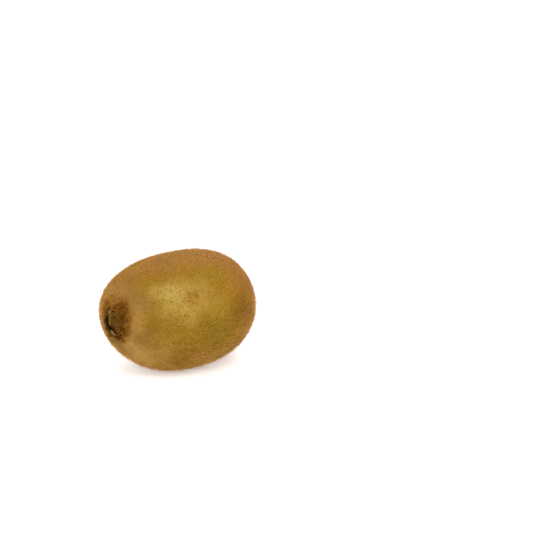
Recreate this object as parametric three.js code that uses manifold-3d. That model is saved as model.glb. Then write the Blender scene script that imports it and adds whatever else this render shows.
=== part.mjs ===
// A kiwi fruit that lies on its side, with its dried calyx, the scar of its stalk and the dried styles
// of its flower. Millimetres, +Z up. The long axis runs along X, with the stalk end at -X. The origin
// is on the surface that the fruit rests on, under the middle of its box.
import * as THREE from 'three';
import { mergeVertices } from 'three/addons/utils/BufferGeometryUtils.js';
import Module from 'manifold-3d';

// The fruit's body.
const LENGTH = 67.7;
const WIDTH = 53.6;
const HEIGHT = 48.6;
const STALK_END_FULLNESS = 2.39; // the outline's exponent: 2 is an ellipse, and more is blunter
const BLOSSOM_END_FULLNESS = 2.37;
const TAPER = 0.038; // how much wider the blossom half is than the stalk half
const SIDE_BOW = 0.4; // how far the ends bend to +Y
const UPWARD_BOW = 1.35; // and to +Z
const BLOSSOM_RISE = 0.25; // how far the blossom end lies above the middle, and the stalk end below
const STALK_END_LEAN = 1.8; // how far the stalk end's upper shoulder stands out
const LOBE = 0.006; // three soft lobes round the girth, as a share of the radius
const LOBE_TURN = -1.26;
const LUMP = 0.003; // soft lumps along the body, as a share of the radius
const ROUND_SHARE = 0.25; // where the girth is under this share of its widest, it is a true round
const OVAL_SHARE = 0.65; // and over this share it is fully oval
const REST_DEPTH = 0.32; // what the flat spot underneath takes off
const BODY_RINGS = 46;
const BODY_COLUMNS = 64;

// The pit at the stalk end, and the dimple at the blossom end. Both radii are those of the floor.
const PIT_RADIUS = 6.35;
const PIT_DEPTH = 3;
const PIT_WALL = 0.55; // how much wider its rim is
const LIP_WIDTH = 2.4; // the low swelling of the skin round the pit
const LIP_HEIGHT = 0.22;
const LIP_REACH = 3; // how far from the rim the plain skin starts again
const DIMPLE_RADIUS = 2.7;
const DIMPLE_DEPTH = 0.75;
const DIMPLE_WALL = 2.2;
const DIMPLE_REACH = 3.52; // how far from the dimple's floor the plain skin starts again

// The calyx: a thin dish with an uneven rim, and five dried sepals that grow from it.
const GAP = 0.3; // between a piece and its neighbour
const CALYX_THICKNESS = 0.7;
const CALYX_HEIGHT = 2.25;
const CALYX_COLUMNS = 60;
const CALYX_EDGE = 0.15; // the bevel along the rim
const RIM_WAVE = 0.28;
const SEPAL_THICKNESS = 0.62;
const SEPAL_CUP = 0.18; // how far its edges bend in, as a share of its half width
const SEPAL_TIP = 0.32; // the tip's width, as a share of the whole
const SEPAL_NECK = 0.75; // how narrow its root is, as a share of its belly
const SEPAL_END = 0.03; // how far inside the ends of its spine its first and last rings lie
const SEPAL_RINGS = 9;
const SEPAL_COLUMNS = 10;
// Each sepal's place round the calyx in degrees from the top, its width, and how far its tip reaches
// out past the rim (in over the scar where it is less than 0) and up.
const SEPALS = [
  { place: 18, width: 3.8, reach: -1.8, rise: 1.1 },
  { place: 96, width: 3.0, reach: 0.8, rise: 0.5 },
  { place: 176, width: 3.8, reach: -2.1, rise: 1.3 },
  { place: 246, width: 3.4, reach: 1.6, rise: 0.7 },
  { place: 314, width: 2.8, reach: -0.7, rise: 0.75 },
];

// The stalk's scar: a corky button with an uneven ring of small pits, where its vessels ran. It is a
// little taller than it is wide, and it stands off the middle of the calyx.
const SCAR_RADIUS = 4.4;
const SCAR_STRETCH = 1.1;
const SCAR_RISE = -0.2; // how far its middle lies above the calyx's, and to +Y
const SCAR_SHIFT = -0.25;
const SCAR_THICKNESS = 0.95;
const SCAR_CROWN = 0.35;
const SCAR_RINGS = 11;
const SCAR_COLUMNS = 44;
const VESSELS = 7;
const VESSEL_CIRCLE = 2.3;
const VESSEL_RADIUS = 0.55;
const VESSEL_DEPTH = 0.42;
const VESSEL_SPREAD = 0.3; // how far each strays along the circle, in radians
const VESSEL_SEED = 5;

// The dried styles: a small button with short tapered strands that spread from it.
const BUTTON_RADIUS = 1.75;
const BUTTON_THICKNESS = 0.8;
const BUTTON_COLUMNS = 20;
const STYLES = 18;
const STYLE_LENGTH = 2.2;
const STYLE_RADIUS = 0.24;
const STYLE_SIDES = 4;
const STYLE_UPRIGHT = 0.15; // how far the middle strands lean out, in radians
const STYLE_SPLAY = 1.15; // and the outer ones
const STYLE_SEED = 11;
const GOLDEN_ANGLE = Math.PI * (3 - Math.sqrt(5));

const MEAN_RADIUS = (WIDTH + HEIGHT) / 4;
const LEAN_SLOPE = STALK_END_LEAN / (HEIGHT / 2);

const wasm = await Module();
wasm.setup();

const skin = new THREE.MeshStandardMaterial({ color: 0xa1793a, roughness: 0.78, metalness: 0 });
const driedSepal = new THREE.MeshStandardMaterial({ color: 0x5a3a1c, roughness: 0.9, metalness: 0 });
const cork = new THREE.MeshStandardMaterial({ color: 0x85693a, roughness: 0.92, metalness: 0 });
const driedStyle = new THREE.MeshStandardMaterial({ color: 0x3a2614, roughness: 0.9, metalness: 0 });

const mix = THREE.MathUtils.lerp;
const ramp = THREE.MathUtils.smoothstep;
const startDraws = THREE.MathUtils.seededRandom;
const draw = (low, high) => mix(low, high, THREE.MathUtils.seededRandom());

// A closed body from a first pole through rings of points to a last pole. Seen from its far end, each
// ring runs counterclockwise.
function ringedBody(firstPole, rings, lastPole) {
  const columns = rings[0].length;
  const points = [firstPole, ...rings.flat(), lastPole];
  const last = points.length - 1;
  const at = (ring, column) => 1 + ring * columns + (column % columns);
  const index = [];
  for (let column = 0; column < columns; column += 1) {
    index.push(0, at(0, column + 1), at(0, column));
    for (let ring = 0; ring + 1 < rings.length; ring += 1) {
      index.push(at(ring, column), at(ring, column + 1), at(ring + 1, column + 1));
      index.push(at(ring, column), at(ring + 1, column + 1), at(ring + 1, column));
    }
    index.push(last, at(rings.length - 1, column), at(rings.length - 1, column + 1));
  }
  const geometry = new THREE.BufferGeometry().setFromPoints(points);
  geometry.setIndex(index);
  return geometry;
}

// The angles of one ring's columns.
function turns(columns) {
  return Array.from({ length: columns }, (_, column) => (2 * Math.PI * column) / columns);
}

function toSolid(geometry) {
  const merged = mergeVertices(geometry);
  const vertProperties = new Float32Array(merged.attributes.position.array);
  const triVerts = new Uint32Array(merged.index.array);
  return new wasm.Manifold(new wasm.Mesh({ numProp: 3, vertProperties, triVerts }));
}

// Joins closed bodies that cross each other into one.
function fused(geometries) {
  const whole = geometries.map(toSolid).reduce((sum, solid) => sum.add(solid));
  const mesh = whole.getMesh();
  const geometry = new THREE.BufferGeometry();
  geometry.setAttribute('position', new THREE.BufferAttribute(mesh.vertProperties, mesh.numProp));
  geometry.setIndex(new THREE.BufferAttribute(mesh.triVerts, 1));
  return geometry;
}

function named(name, geometry, material) {
  geometry.computeVertexNormals();
  const mesh = new THREE.Mesh(geometry, material);
  mesh.name = name;
  return mesh;
}

// The middle of the girth at a place along the body, from -1 at the stalk end to 1 at the other.
function centreline(along) {
  const bow = along * along - 1 / 3;
  return new THREE.Vector3((LENGTH / 2) * along, SIDE_BOW * bow, UPWARD_BOW * bow + BLOSSOM_RISE * along);
}

// A point of the skin. polar runs from 0 at the stalk end to PI at the blossom end, around from +Y
// through +Z, and sink presses the point into the body from the end.
function skinPoint(polar, around, sink) {
  const stalkHalf = polar < Math.PI / 2;
  const power = 2 / (stalkHalf ? STALK_END_FULLNESS : BLOSSOM_END_FULLNESS);
  const along = (stalkHalf ? -1 : 1) * Math.abs(Math.cos(polar)) ** power;
  const fullness = Math.sin(polar) ** power;
  const oval = ramp(fullness, ROUND_SHARE, OVAL_SHARE);
  const lobes = LOBE * Math.cos(3 * around - LOBE_TURN);
  const lumps = LUMP * (Math.sin(2 * around + 5 * along) + Math.sin(4 * around - 7 * along + 1));
  const radius = MEAN_RADIUS * fullness * (1 + oval * (TAPER * along + lobes + lumps));
  const up = (radius * Math.sin(around) * mix(MEAN_RADIUS, HEIGHT / 2, oval)) / MEAN_RADIUS;
  const side = (radius * Math.cos(around) * mix(MEAN_RADIUS, WIDTH / 2, oval)) / MEAN_RADIUS;
  const offset = stalkHalf
    ? new THREE.Vector3(sink - LEAN_SLOPE * along * along * up, side, up + LEAN_SLOPE * sink)
    : new THREE.Vector3(-sink, side, up);
  return centreline(along).add(offset);
}

// Where on the body the girth has a given radius.
function polarOf(radius, endFullness) {
  return Math.asin((radius / MEAN_RADIUS) ** (endFullness / 2));
}

function fruitBody() {
  const rim = PIT_RADIUS + PIT_WALL;
  const pit = [
    [PIT_RADIUS / 3, PIT_DEPTH],
    [(2 * PIT_RADIUS) / 3, PIT_DEPTH],
    [PIT_RADIUS, PIT_DEPTH],
    [PIT_RADIUS + PIT_WALL / 2, PIT_DEPTH / 3],
    [rim, 0],
    [rim + LIP_WIDTH / 4, -LIP_HEIGHT],
    [rim + (3 * LIP_WIDTH) / 4, -LIP_HEIGHT / 3],
  ];
  const dimple = [
    [DIMPLE_RADIUS + DIMPLE_WALL, 0],
    [DIMPLE_RADIUS + DIMPLE_WALL / 2, DIMPLE_DEPTH * 0.4],
    [DIMPLE_RADIUS, DIMPLE_DEPTH],
    [DIMPLE_RADIUS / 2, DIMPLE_DEPTH],
  ];
  const first = polarOf(rim + LIP_REACH, STALK_END_FULLNESS);
  const last = Math.PI - polarOf(DIMPLE_RADIUS + DIMPLE_REACH, BLOSSOM_END_FULLNESS);
  const stations = pit.map(([radius, depth]) => [polarOf(radius, STALK_END_FULLNESS), depth]);
  for (let ring = 0; ring < BODY_RINGS; ring += 1) {
    stations.push([mix(first, last, ring / (BODY_RINGS - 1)), 0]);
  }
  for (const [radius, depth] of dimple) {
    stations.push([Math.PI - polarOf(radius, BLOSSOM_END_FULLNESS), depth]);
  }
  const rings = stations.map(([polar, sink]) =>
    turns(BODY_COLUMNS).map((around) => skinPoint(polar, around, sink)),
  );
  const points = rings.flat();
  const flatSpot = Math.min(...points.map((point) => point.z)) + REST_DEPTH;
  for (const point of points) {
    point.z = Math.max(point.z, flatSpot);
  }
  return ringedBody(skinPoint(0, 0, PIT_DEPTH), rings, skinPoint(Math.PI, 0, DIMPLE_DEPTH));
}

// A round body about +Z from its outline, with each point's height moved by lift(radius, turn).
function turnedBody(outline, columns, lift) {
  const place = ([radius, height], turn) =>
    new THREE.Vector3(
      radius * Math.cos(turn),
      radius * Math.sin(turn),
      height + lift(radius, height, turn),
    );
  const rings = outline.slice(1, -1).map((point) => turns(columns).map((turn) => place(point, turn)));
  return ringedBody(place(outline[0], 0), rings, place(outline.at(-1), 0));
}

// One dried sepal: a thin cupped blade from inside the calyx's rim to its tip.
function sepal({ place, width, reach, rise }, rimRadius, rootHeight, rimTop) {
  const turn = THREE.MathUtils.degToRad(place);
  const outward = new THREE.Vector3(Math.cos(turn), Math.sin(turn), 0);
  const across = new THREE.Vector3(-Math.sin(turn), Math.cos(turn), 0);
  const at = (radius, height) => outward.clone().multiplyScalar(radius).setZ(height);
  const spine = new THREE.QuadraticBezierCurve3(
    at(rimRadius, rootHeight),
    at(rimRadius, rimTop + rise),
    at(rimRadius + reach, rimTop + rise),
  );
  const rings = [];
  for (let ring = 0; ring < SEPAL_RINGS; ring += 1) {
    const share = ring / (SEPAL_RINGS - 1);
    const along = mix(SEPAL_END, 1 - SEPAL_END, share);
    const normal = new THREE.Vector3().crossVectors(spine.getTangent(along), across);
    const belly = mix(SEPAL_NECK, 1, Math.sin(Math.PI * share));
    const half = (width / 2) * belly * Math.sqrt(1 - (1 - SEPAL_TIP ** 2) * share * share);
    const ringPoints = turns(SEPAL_COLUMNS).map((around) => {
      const cup = SEPAL_CUP * half * Math.cos(around) ** 2;
      const thick = (SEPAL_THICKNESS / 2) * Math.sin(around) + cup;
      return spine
        .getPoint(along)
        .addScaledVector(across, half * Math.cos(around))
        .addScaledVector(normal, thick);
    });
    rings.push(ringPoints);
  }
  return ringedBody(spine.getPoint(0), rings, spine.getPoint(1));
}

// The calyx about +Z, with the pit's rim at height 0.
function calyxBody() {
  const outer = PIT_RADIUS - GAP;
  const inner = outer - CALYX_THICKNESS;
  const bottom = GAP - PIT_DEPTH;
  const floor = bottom + CALYX_THICKNESS;
  const rimTop = bottom + CALYX_HEIGHT;
  const outline = [
    [0, bottom],
    [outer / 2, bottom],
    [outer - CALYX_EDGE, bottom],
    [outer, bottom + CALYX_EDGE],
    [outer, rimTop - CALYX_EDGE],
    [outer - CALYX_EDGE, rimTop],
    [inner + CALYX_EDGE, rimTop],
    [inner, rimTop - CALYX_EDGE],
    [inner, floor],
    [inner / 2, floor],
    [0, floor],
  ];
  const wave = (radius, height, turn) =>
    height > floor ? RIM_WAVE * (Math.sin(5 * turn + 1) + 0.6 * Math.sin(11 * turn)) : 0;
  const dish = turnedBody(outline, CALYX_COLUMNS, wave);
  const rimMiddle = outer - CALYX_THICKNESS / 2;
  const sepals = SEPALS.map((one) => sepal(one, rimMiddle, bottom + CALYX_THICKNESS / 2, rimTop));
  return fused([dish, ...sepals]);
}

function stalkScarBody() {
  const bottom = GAP * 2 + CALYX_THICKNESS - PIT_DEPTH;
  const top = bottom + SCAR_THICKNESS;
  const outline = [
    [0, bottom],
    [SCAR_RADIUS / 2, bottom],
    [SCAR_RADIUS * 0.9, bottom],
    [SCAR_RADIUS, bottom + SCAR_THICKNESS / 3],
  ];
  for (let ring = SCAR_RINGS; ring >= 0; ring -= 1) {
    outline.push([SCAR_RADIUS * 0.96 * Math.sin((Math.PI / 2) * (ring / SCAR_RINGS)), top]);
  }
  startDraws(VESSEL_SEED);
  const vessels = turns(VESSELS).map((turn) => {
    const out = VESSEL_CIRCLE * draw(0.45, 1.2);
    const place = turn + draw(-VESSEL_SPREAD, VESSEL_SPREAD);
    return { x: out * Math.cos(place), y: out * Math.sin(place), depth: VESSEL_DEPTH * draw(0.5, 1) };
  });
  const relief = (radius, height, turn) => {
    if (height < top) {
      return 0;
    }
    const crown = SCAR_CROWN * (1 - (radius / SCAR_RADIUS) ** 4);
    const pits = vessels.map(({ x, y, depth }) => {
      const apart = Math.hypot(radius * Math.cos(turn) - x, radius * Math.sin(turn) - y);
      return depth * Math.exp(-((apart / VESSEL_RADIUS) ** 2));
    });
    return pits.reduce((left, pit) => left - pit, crown);
  };
  return turnedBody(outline, SCAR_COLUMNS, relief)
    .scale(SCAR_STRETCH, 1, 1)
    .translate(SCAR_RISE, SCAR_SHIFT, 0);
}

// One tapered strand, from its root to its tip.
function strand(root, tip, radius) {
  const axis = new THREE.Vector3().subVectors(tip, root).normalize();
  const across = new THREE.Vector3(0, 0, 1).cross(axis).normalize();
  const upright = new THREE.Vector3().crossVectors(axis, across);
  const ringAt = (share, size) =>
    turns(STYLE_SIDES).map((around) =>
      new THREE.Vector3()
        .lerpVectors(root, tip, share)
        .addScaledVector(across, size * Math.cos(around))
        .addScaledVector(upright, size * Math.sin(around)),
    );
  return ringedBody(root, [ringAt(0.06, radius), ringAt(0.6, radius * 0.8)], tip);
}

function styleRemainsBody() {
  const bottom = GAP - DIMPLE_DEPTH;
  const button = turnedBody(
    [
      [0, bottom],
      [BUTTON_RADIUS * 0.85, bottom],
      [BUTTON_RADIUS, bottom + BUTTON_THICKNESS * 0.4],
      [BUTTON_RADIUS * 0.7, bottom + BUTTON_THICKNESS * 0.85],
      [0, bottom + BUTTON_THICKNESS],
    ],
    BUTTON_COLUMNS,
    () => 0,
  );
  startDraws(STYLE_SEED);
  const strands = [];
  for (let style = 0; style < STYLES; style += 1) {
    const share = Math.sqrt((style + 0.5) / STYLES);
    const turn = style * GOLDEN_ANGLE;
    const root = new THREE.Vector3(0, 0, bottom + BUTTON_THICKNESS * 0.45);
    root.x = share * BUTTON_RADIUS * 0.6 * Math.cos(turn);
    root.y = share * BUTTON_RADIUS * 0.6 * Math.sin(turn);
    const spread = mix(STYLE_UPRIGHT, STYLE_SPLAY, share) * draw(0.8, 1.1);
    const length = STYLE_LENGTH * draw(0.65, 1);
    const tip = new THREE.Vector3(
      root.x + length * Math.sin(spread) * Math.cos(turn),
      root.y + length * Math.sin(spread) * Math.sin(turn),
      root.z + length * Math.cos(spread),
    );
    strands.push(strand(root, tip, STYLE_RADIUS));
  }
  return fused([button, ...strands]);
}

// A group that stands pieces built about +Z out of one end of the body. Their +X ends up pointing up
// at the stalk end and down at the blossom end.
function endGroup(along, leanSlope, ...pieces) {
  const group = new THREE.Group();
  group.position.copy(centreline(along));
  group.rotation.y = (along * Math.PI) / 2 - Math.atan(leanSlope);
  group.add(...pieces);
  return group;
}

const stalkEnd = endGroup(
  -1,
  LEAN_SLOPE,
  named('calyx', calyxBody(), driedSepal),
  named('stalk_scar', stalkScarBody(), cork),
);
const blossomEnd = endGroup(1, 0, named('style_remains', styleRemainsBody(), driedStyle));

const kiwiFruit = new THREE.Group();
kiwiFruit.add(named('fruit', fruitBody(), skin), stalkEnd, blossomEnd);
kiwiFruit.updateMatrixWorld(true);
const box = new THREE.Box3().setFromObject(kiwiFruit, true);
kiwiFruit.position.set(-(box.min.x + box.max.x) / 2, -(box.min.y + box.max.y) / 2, -box.min.z);

export default kiwiFruit;
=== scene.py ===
"""The looks of a kiwi fruit: its skin and fuzz, dried calyx, stalk scar and dried styles.

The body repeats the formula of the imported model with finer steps. Sizes are in millimetres where
a name does not say otherwise, and make_piece turns them into Blender's metres.
"""

import logging
import math
from dataclasses import dataclass
from dataclasses import field
from enum import Enum
from typing import Any
from typing import Callable

import bpy
import numpy as np
from mathutils import Matrix
from mathutils import Vector
from mathutils.kdtree import KDTree


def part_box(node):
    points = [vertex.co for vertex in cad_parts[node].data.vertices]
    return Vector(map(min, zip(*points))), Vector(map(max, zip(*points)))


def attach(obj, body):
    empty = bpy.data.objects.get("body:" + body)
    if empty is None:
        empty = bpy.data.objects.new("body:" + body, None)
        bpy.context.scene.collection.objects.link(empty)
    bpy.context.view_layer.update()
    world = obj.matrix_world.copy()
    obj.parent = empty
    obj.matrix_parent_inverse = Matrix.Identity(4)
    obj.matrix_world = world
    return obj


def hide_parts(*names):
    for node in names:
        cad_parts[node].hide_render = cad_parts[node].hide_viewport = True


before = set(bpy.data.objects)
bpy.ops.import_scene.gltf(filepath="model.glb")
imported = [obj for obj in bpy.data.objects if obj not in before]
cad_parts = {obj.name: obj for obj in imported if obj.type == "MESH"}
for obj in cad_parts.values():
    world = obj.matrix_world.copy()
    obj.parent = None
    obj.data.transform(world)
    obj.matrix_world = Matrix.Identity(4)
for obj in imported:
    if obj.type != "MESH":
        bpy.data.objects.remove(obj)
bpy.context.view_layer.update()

MM = 0.001
ROOT = "root"
CORNER_MAP = "OFBake"
LOG = logging.getLogger("kiwi_fruit")
TINY = 1e-12

# The curve between a screen's colours and linear ones: straight up to a knee, and a power above.
SCREEN_KNEE = 0.04045
SCREEN_SLOPE = 12.92
SCREEN_TOE = 0.055
SCREEN_POWER = 2.4

Colour = tuple[float, float, float, float]

# Where a smooth ramp is 0, and where it is 1.
Span = tuple[float, float]

# Where a finish's ramp starts and ends, and its two heights there if they are not 0 and 1.
Fade = tuple[float, ...]

# How far a round body's points rise, from their radius, height and angle.
Relief = Callable[[np.ndarray, np.ndarray, np.ndarray], np.ndarray]


def paint(code: str) -> Colour:
    """Turns a screen colour into Blender's linear one.

    Args:
        code: Six hexadecimal digits, as on a paint chart.

    Returns:
        Red, green, blue and an alpha of 1.
    """
    linear = []
    for at in (0, 2, 4):
        share = int(code[at : at + 2], 16) / 255
        dark = share / SCREEN_SLOPE
        light = ((share + SCREEN_TOE) / (1 + SCREEN_TOE)) ** SCREEN_POWER
        linear.append(dark if share <= SCREEN_KNEE else light)
    return (*linear, 1.0)


def unit(vectors: np.ndarray) -> np.ndarray:
    """Returns the vectors at length 1."""
    return vectors / np.maximum(np.linalg.norm(vectors, axis=-1, keepdims=True), TINY)


def ramp(value: np.ndarray, low: float, high: float) -> np.ndarray:
    """Goes smoothly from 0 to 1.

    Args:
        value: Where to read the ramp.
        low: Where it is 0. It may be more than high, and the ramp then falls.
        high: Where it is 1.

    Returns:
        The ramp's heights.
    """
    share = np.clip((value - low) / (high - low), 0, 1)
    return share * share * (3 - 2 * share)


def eased(value: np.ndarray, places: list[float], heights: list[float]) -> np.ndarray:
    """Reads a profile that runs smoothly from station to station.

    Args:
        value: Where to read the profile.
        places: The stations, rising.
        heights: The profile's height at each station.

    Returns:
        The heights there, and those of the end stations beyond them.
    """
    at = np.clip(np.searchsorted(places, value) - 1, 0, len(places) - 2)
    low, high = np.take(places, at), np.take(places, at + 1)
    share = np.clip((value - low) / (high - low), 0, 1)
    share = share * share * (3 - 2 * share)
    return np.take(heights, at) * (1 - share) + np.take(heights, at + 1) * share


@dataclass(frozen=True)
class SoftNoise:
    """Smooth seeded noise in space, from about -height to height."""

    seed: int
    swell: float
    height: float = 1.0
    cells: int = 32

    def at(self, points: np.ndarray) -> np.ndarray:
        """Reads the noise.

        Args:
            points: Places in space, one to a row.

        Returns:
            One height for each place.
        """
        lattice = np.random.default_rng(self.seed).uniform(-1, 1, (self.cells,) * 3)
        places = points / self.swell
        low = np.floor(places).astype(int)
        part = places - low
        part = part * part * (3 - 2 * part)
        total = np.zeros(points.shape[:-1])
        for corner in np.ndindex(2, 2, 2):
            weight = np.prod(np.where(corner, part, 1 - part), axis=-1)
            x, y, z = np.moveaxis((low + corner) % self.cells, -1, 0)
            total += weight * lattice[x, y, z]
        return self.height * total


class SeededDraws:
    """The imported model's own draws, so that both models place their pits and strands alike."""

    STEP = 0x6D2B79F5
    WORD = 0xFFFFFFFF

    def __init__(self, seed: int) -> None:
        """Starts the draws and takes the first one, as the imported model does.

        Args:
            seed: The number that settles every draw.
        """
        self.state = seed
        self.share()

    def share(self) -> float:
        """Takes the next draw.

        Returns:
            The draw, from 0 to 1.
        """
        self.state = (self.state + self.STEP) & self.WORD
        word = self.state
        word = ((word ^ (word >> 15)) * (word | 1)) & self.WORD
        word ^= (word + (((word ^ (word >> 7)) * (word | 61)) & self.WORD)) & self.WORD
        return ((word ^ (word >> 14)) & self.WORD) / (self.WORD + 1)

    def between(self, low: float, high: float) -> float:
        """Returns the next draw, from low to high."""
        return low + (high - low) * self.share()


@dataclass
class Solid:
    """A closed body of triangles."""

    points: np.ndarray
    triangles: np.ndarray

    def normals(self) -> np.ndarray:
        """Works out which way the body faces.

        Returns:
            The outward direction at each point.
        """
        corners = self.points[self.triangles]
        faces = np.cross(corners[:, 1] - corners[:, 0], corners[:, 2] - corners[:, 0])
        total = np.zeros_like(self.points)
        for corner in range(3):
            np.add.at(total, self.triangles[:, corner], faces)
        return unit(total)

    def swelled(self, heights: np.ndarray) -> "Solid":
        """Returns the body with each point moved outward by its own height."""
        return Solid(self.points + self.normals() * heights[:, None], self.triangles)

    def moved(self, turn: np.ndarray, place: np.ndarray) -> "Solid":
        """Returns the body turned by a matrix and then moved."""
        return Solid(self.points @ turn.T + place, self.triangles)


def ringed(first: np.ndarray, rings: np.ndarray, last: np.ndarray) -> Solid:
    """Makes a closed body from a first pole through rings of points to a last pole.

    Args:
        first: The first pole.
        rings: The rings' points, by ring and column. Seen from the last pole, they run
            counterclockwise.
        last: The last pole.

    Returns:
        The body.
    """
    count, columns = rings.shape[:2]
    points = np.vstack([first[None], rings.reshape(-1, 3), last[None]])
    here = 1 + np.arange(count * columns).reshape(count, columns)
    beside = np.roll(here, -1, axis=1)
    near = np.stack([here[:-1], beside[:-1], beside[1:]], axis=-1).reshape(-1, 3)
    far = np.stack([here[:-1], beside[1:], here[1:]], axis=-1).reshape(-1, 3)
    start = np.stack([np.zeros(columns, int), beside[0], here[0]], axis=-1)
    end = np.stack([np.full(columns, len(points) - 1), here[-1], beside[-1]], axis=-1)
    return Solid(points, np.vstack([start, near, far, end]))


def turns(columns: int) -> np.ndarray:
    """Returns the angles of one ring's columns."""
    return np.arange(columns) * 2 * math.pi / columns


def turned(outline: np.ndarray, columns: int, lift: Relief) -> Solid:
    """Turns an outline round +Z.

    Args:
        outline: The radius and height of each station, from pole to pole.
        columns: How many points go round.
        lift: How far each point rises, from its radius, height and angle.

    Returns:
        The round body.
    """
    radius, height = outline[:, :1], outline[:, 1:]
    angle = turns(columns)[None]
    level = height + lift(radius, height, angle)
    rings = np.stack([radius * np.cos(angle), radius * np.sin(angle), level], axis=-1)
    return ringed(rings[0, 0], rings[1:-1], rings[-1, 0])


def joined(solids: list[Solid]) -> Solid:
    """Joins closed bodies that cross each other into one.

    Args:
        solids: The bodies.

    Returns:
        One body without what lay inside.
    """
    shapes = []
    for number, solid in enumerate(solids):
        mesh = bpy.data.meshes.new(f"join_{number}")
        mesh.from_pydata(solid.points.tolist(), [], solid.triangles.tolist())
        shape = bpy.data.objects.new(f"join_{number}", mesh)
        bpy.context.scene.collection.objects.link(shape)
        shapes.append(shape)
    for other in shapes[1:]:
        step = shapes[0].modifiers.new("join", "BOOLEAN")
        step.operation = "UNION"
        step.solver = "MANIFOLD"
        step.object = other
    scene_graph = bpy.context.evaluated_depsgraph_get()
    whole = bpy.data.meshes.new_from_object(shapes[0].evaluated_get(scene_graph))
    whole.calc_loop_triangles()
    points = np.empty(len(whole.vertices) * 3, np.float32)
    whole.vertices.foreach_get("co", points)
    corners = np.empty(len(whole.loop_triangles) * 3, np.int32)
    whole.loop_triangles.foreach_get("vertices", corners)
    for shape in shapes:
        bpy.data.meshes.remove(shape.data)
    bpy.data.meshes.remove(whole)
    return Solid(points.reshape(-1, 3).astype(float), corners.reshape(-1, 3))


def make_piece(
    name: str,
    solid: Solid,
    material: bpy.types.Material,
    corner_map: np.ndarray | None = None,
    masks: dict[str, np.ndarray] | None = None,
) -> bpy.types.Object:
    """Makes a Blender object of a solid.

    Args:
        name: The object's name.
        solid: The body, in millimetres.
        material: What it is finished in.
        corner_map: The two coordinates of each triangle's corners on a flat map, if any.
        masks: Numbers that the material reads at each point, by name.

    Returns:
        The object, in metres.
    """
    mesh = bpy.data.meshes.new(name)
    mesh.vertices.add(len(solid.points))
    mesh.vertices.foreach_set("co", (solid.points * MM).astype(np.float32).ravel())
    corners = solid.triangles.astype(np.int32).ravel()
    mesh.loops.add(len(corners))
    mesh.polygons.add(len(solid.triangles))
    mesh.polygons.foreach_set("loop_start", np.arange(0, len(corners), 3, dtype=np.int32))
    mesh.polygons.foreach_set("vertices", corners)
    if corner_map is not None:
        layer = mesh.uv_layers.new(name=CORNER_MAP)
        layer.uv.foreach_set("vector", corner_map.astype(np.float32).ravel())
    for mask, values in (masks or {}).items():
        attribute = mesh.attributes.new(mask, "FLOAT", "POINT")
        attribute.data.foreach_set("value", values.astype(np.float32))
    mesh.update(calc_edges=True)
    mesh.validate()
    mesh.shade_smooth()
    mesh.materials.append(material)
    piece = bpy.data.objects.new(name, mesh)
    bpy.context.scene.collection.objects.link(piece)
    LOG.info("%s: %d triangles", name, len(solid.triangles))
    return piece


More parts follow.
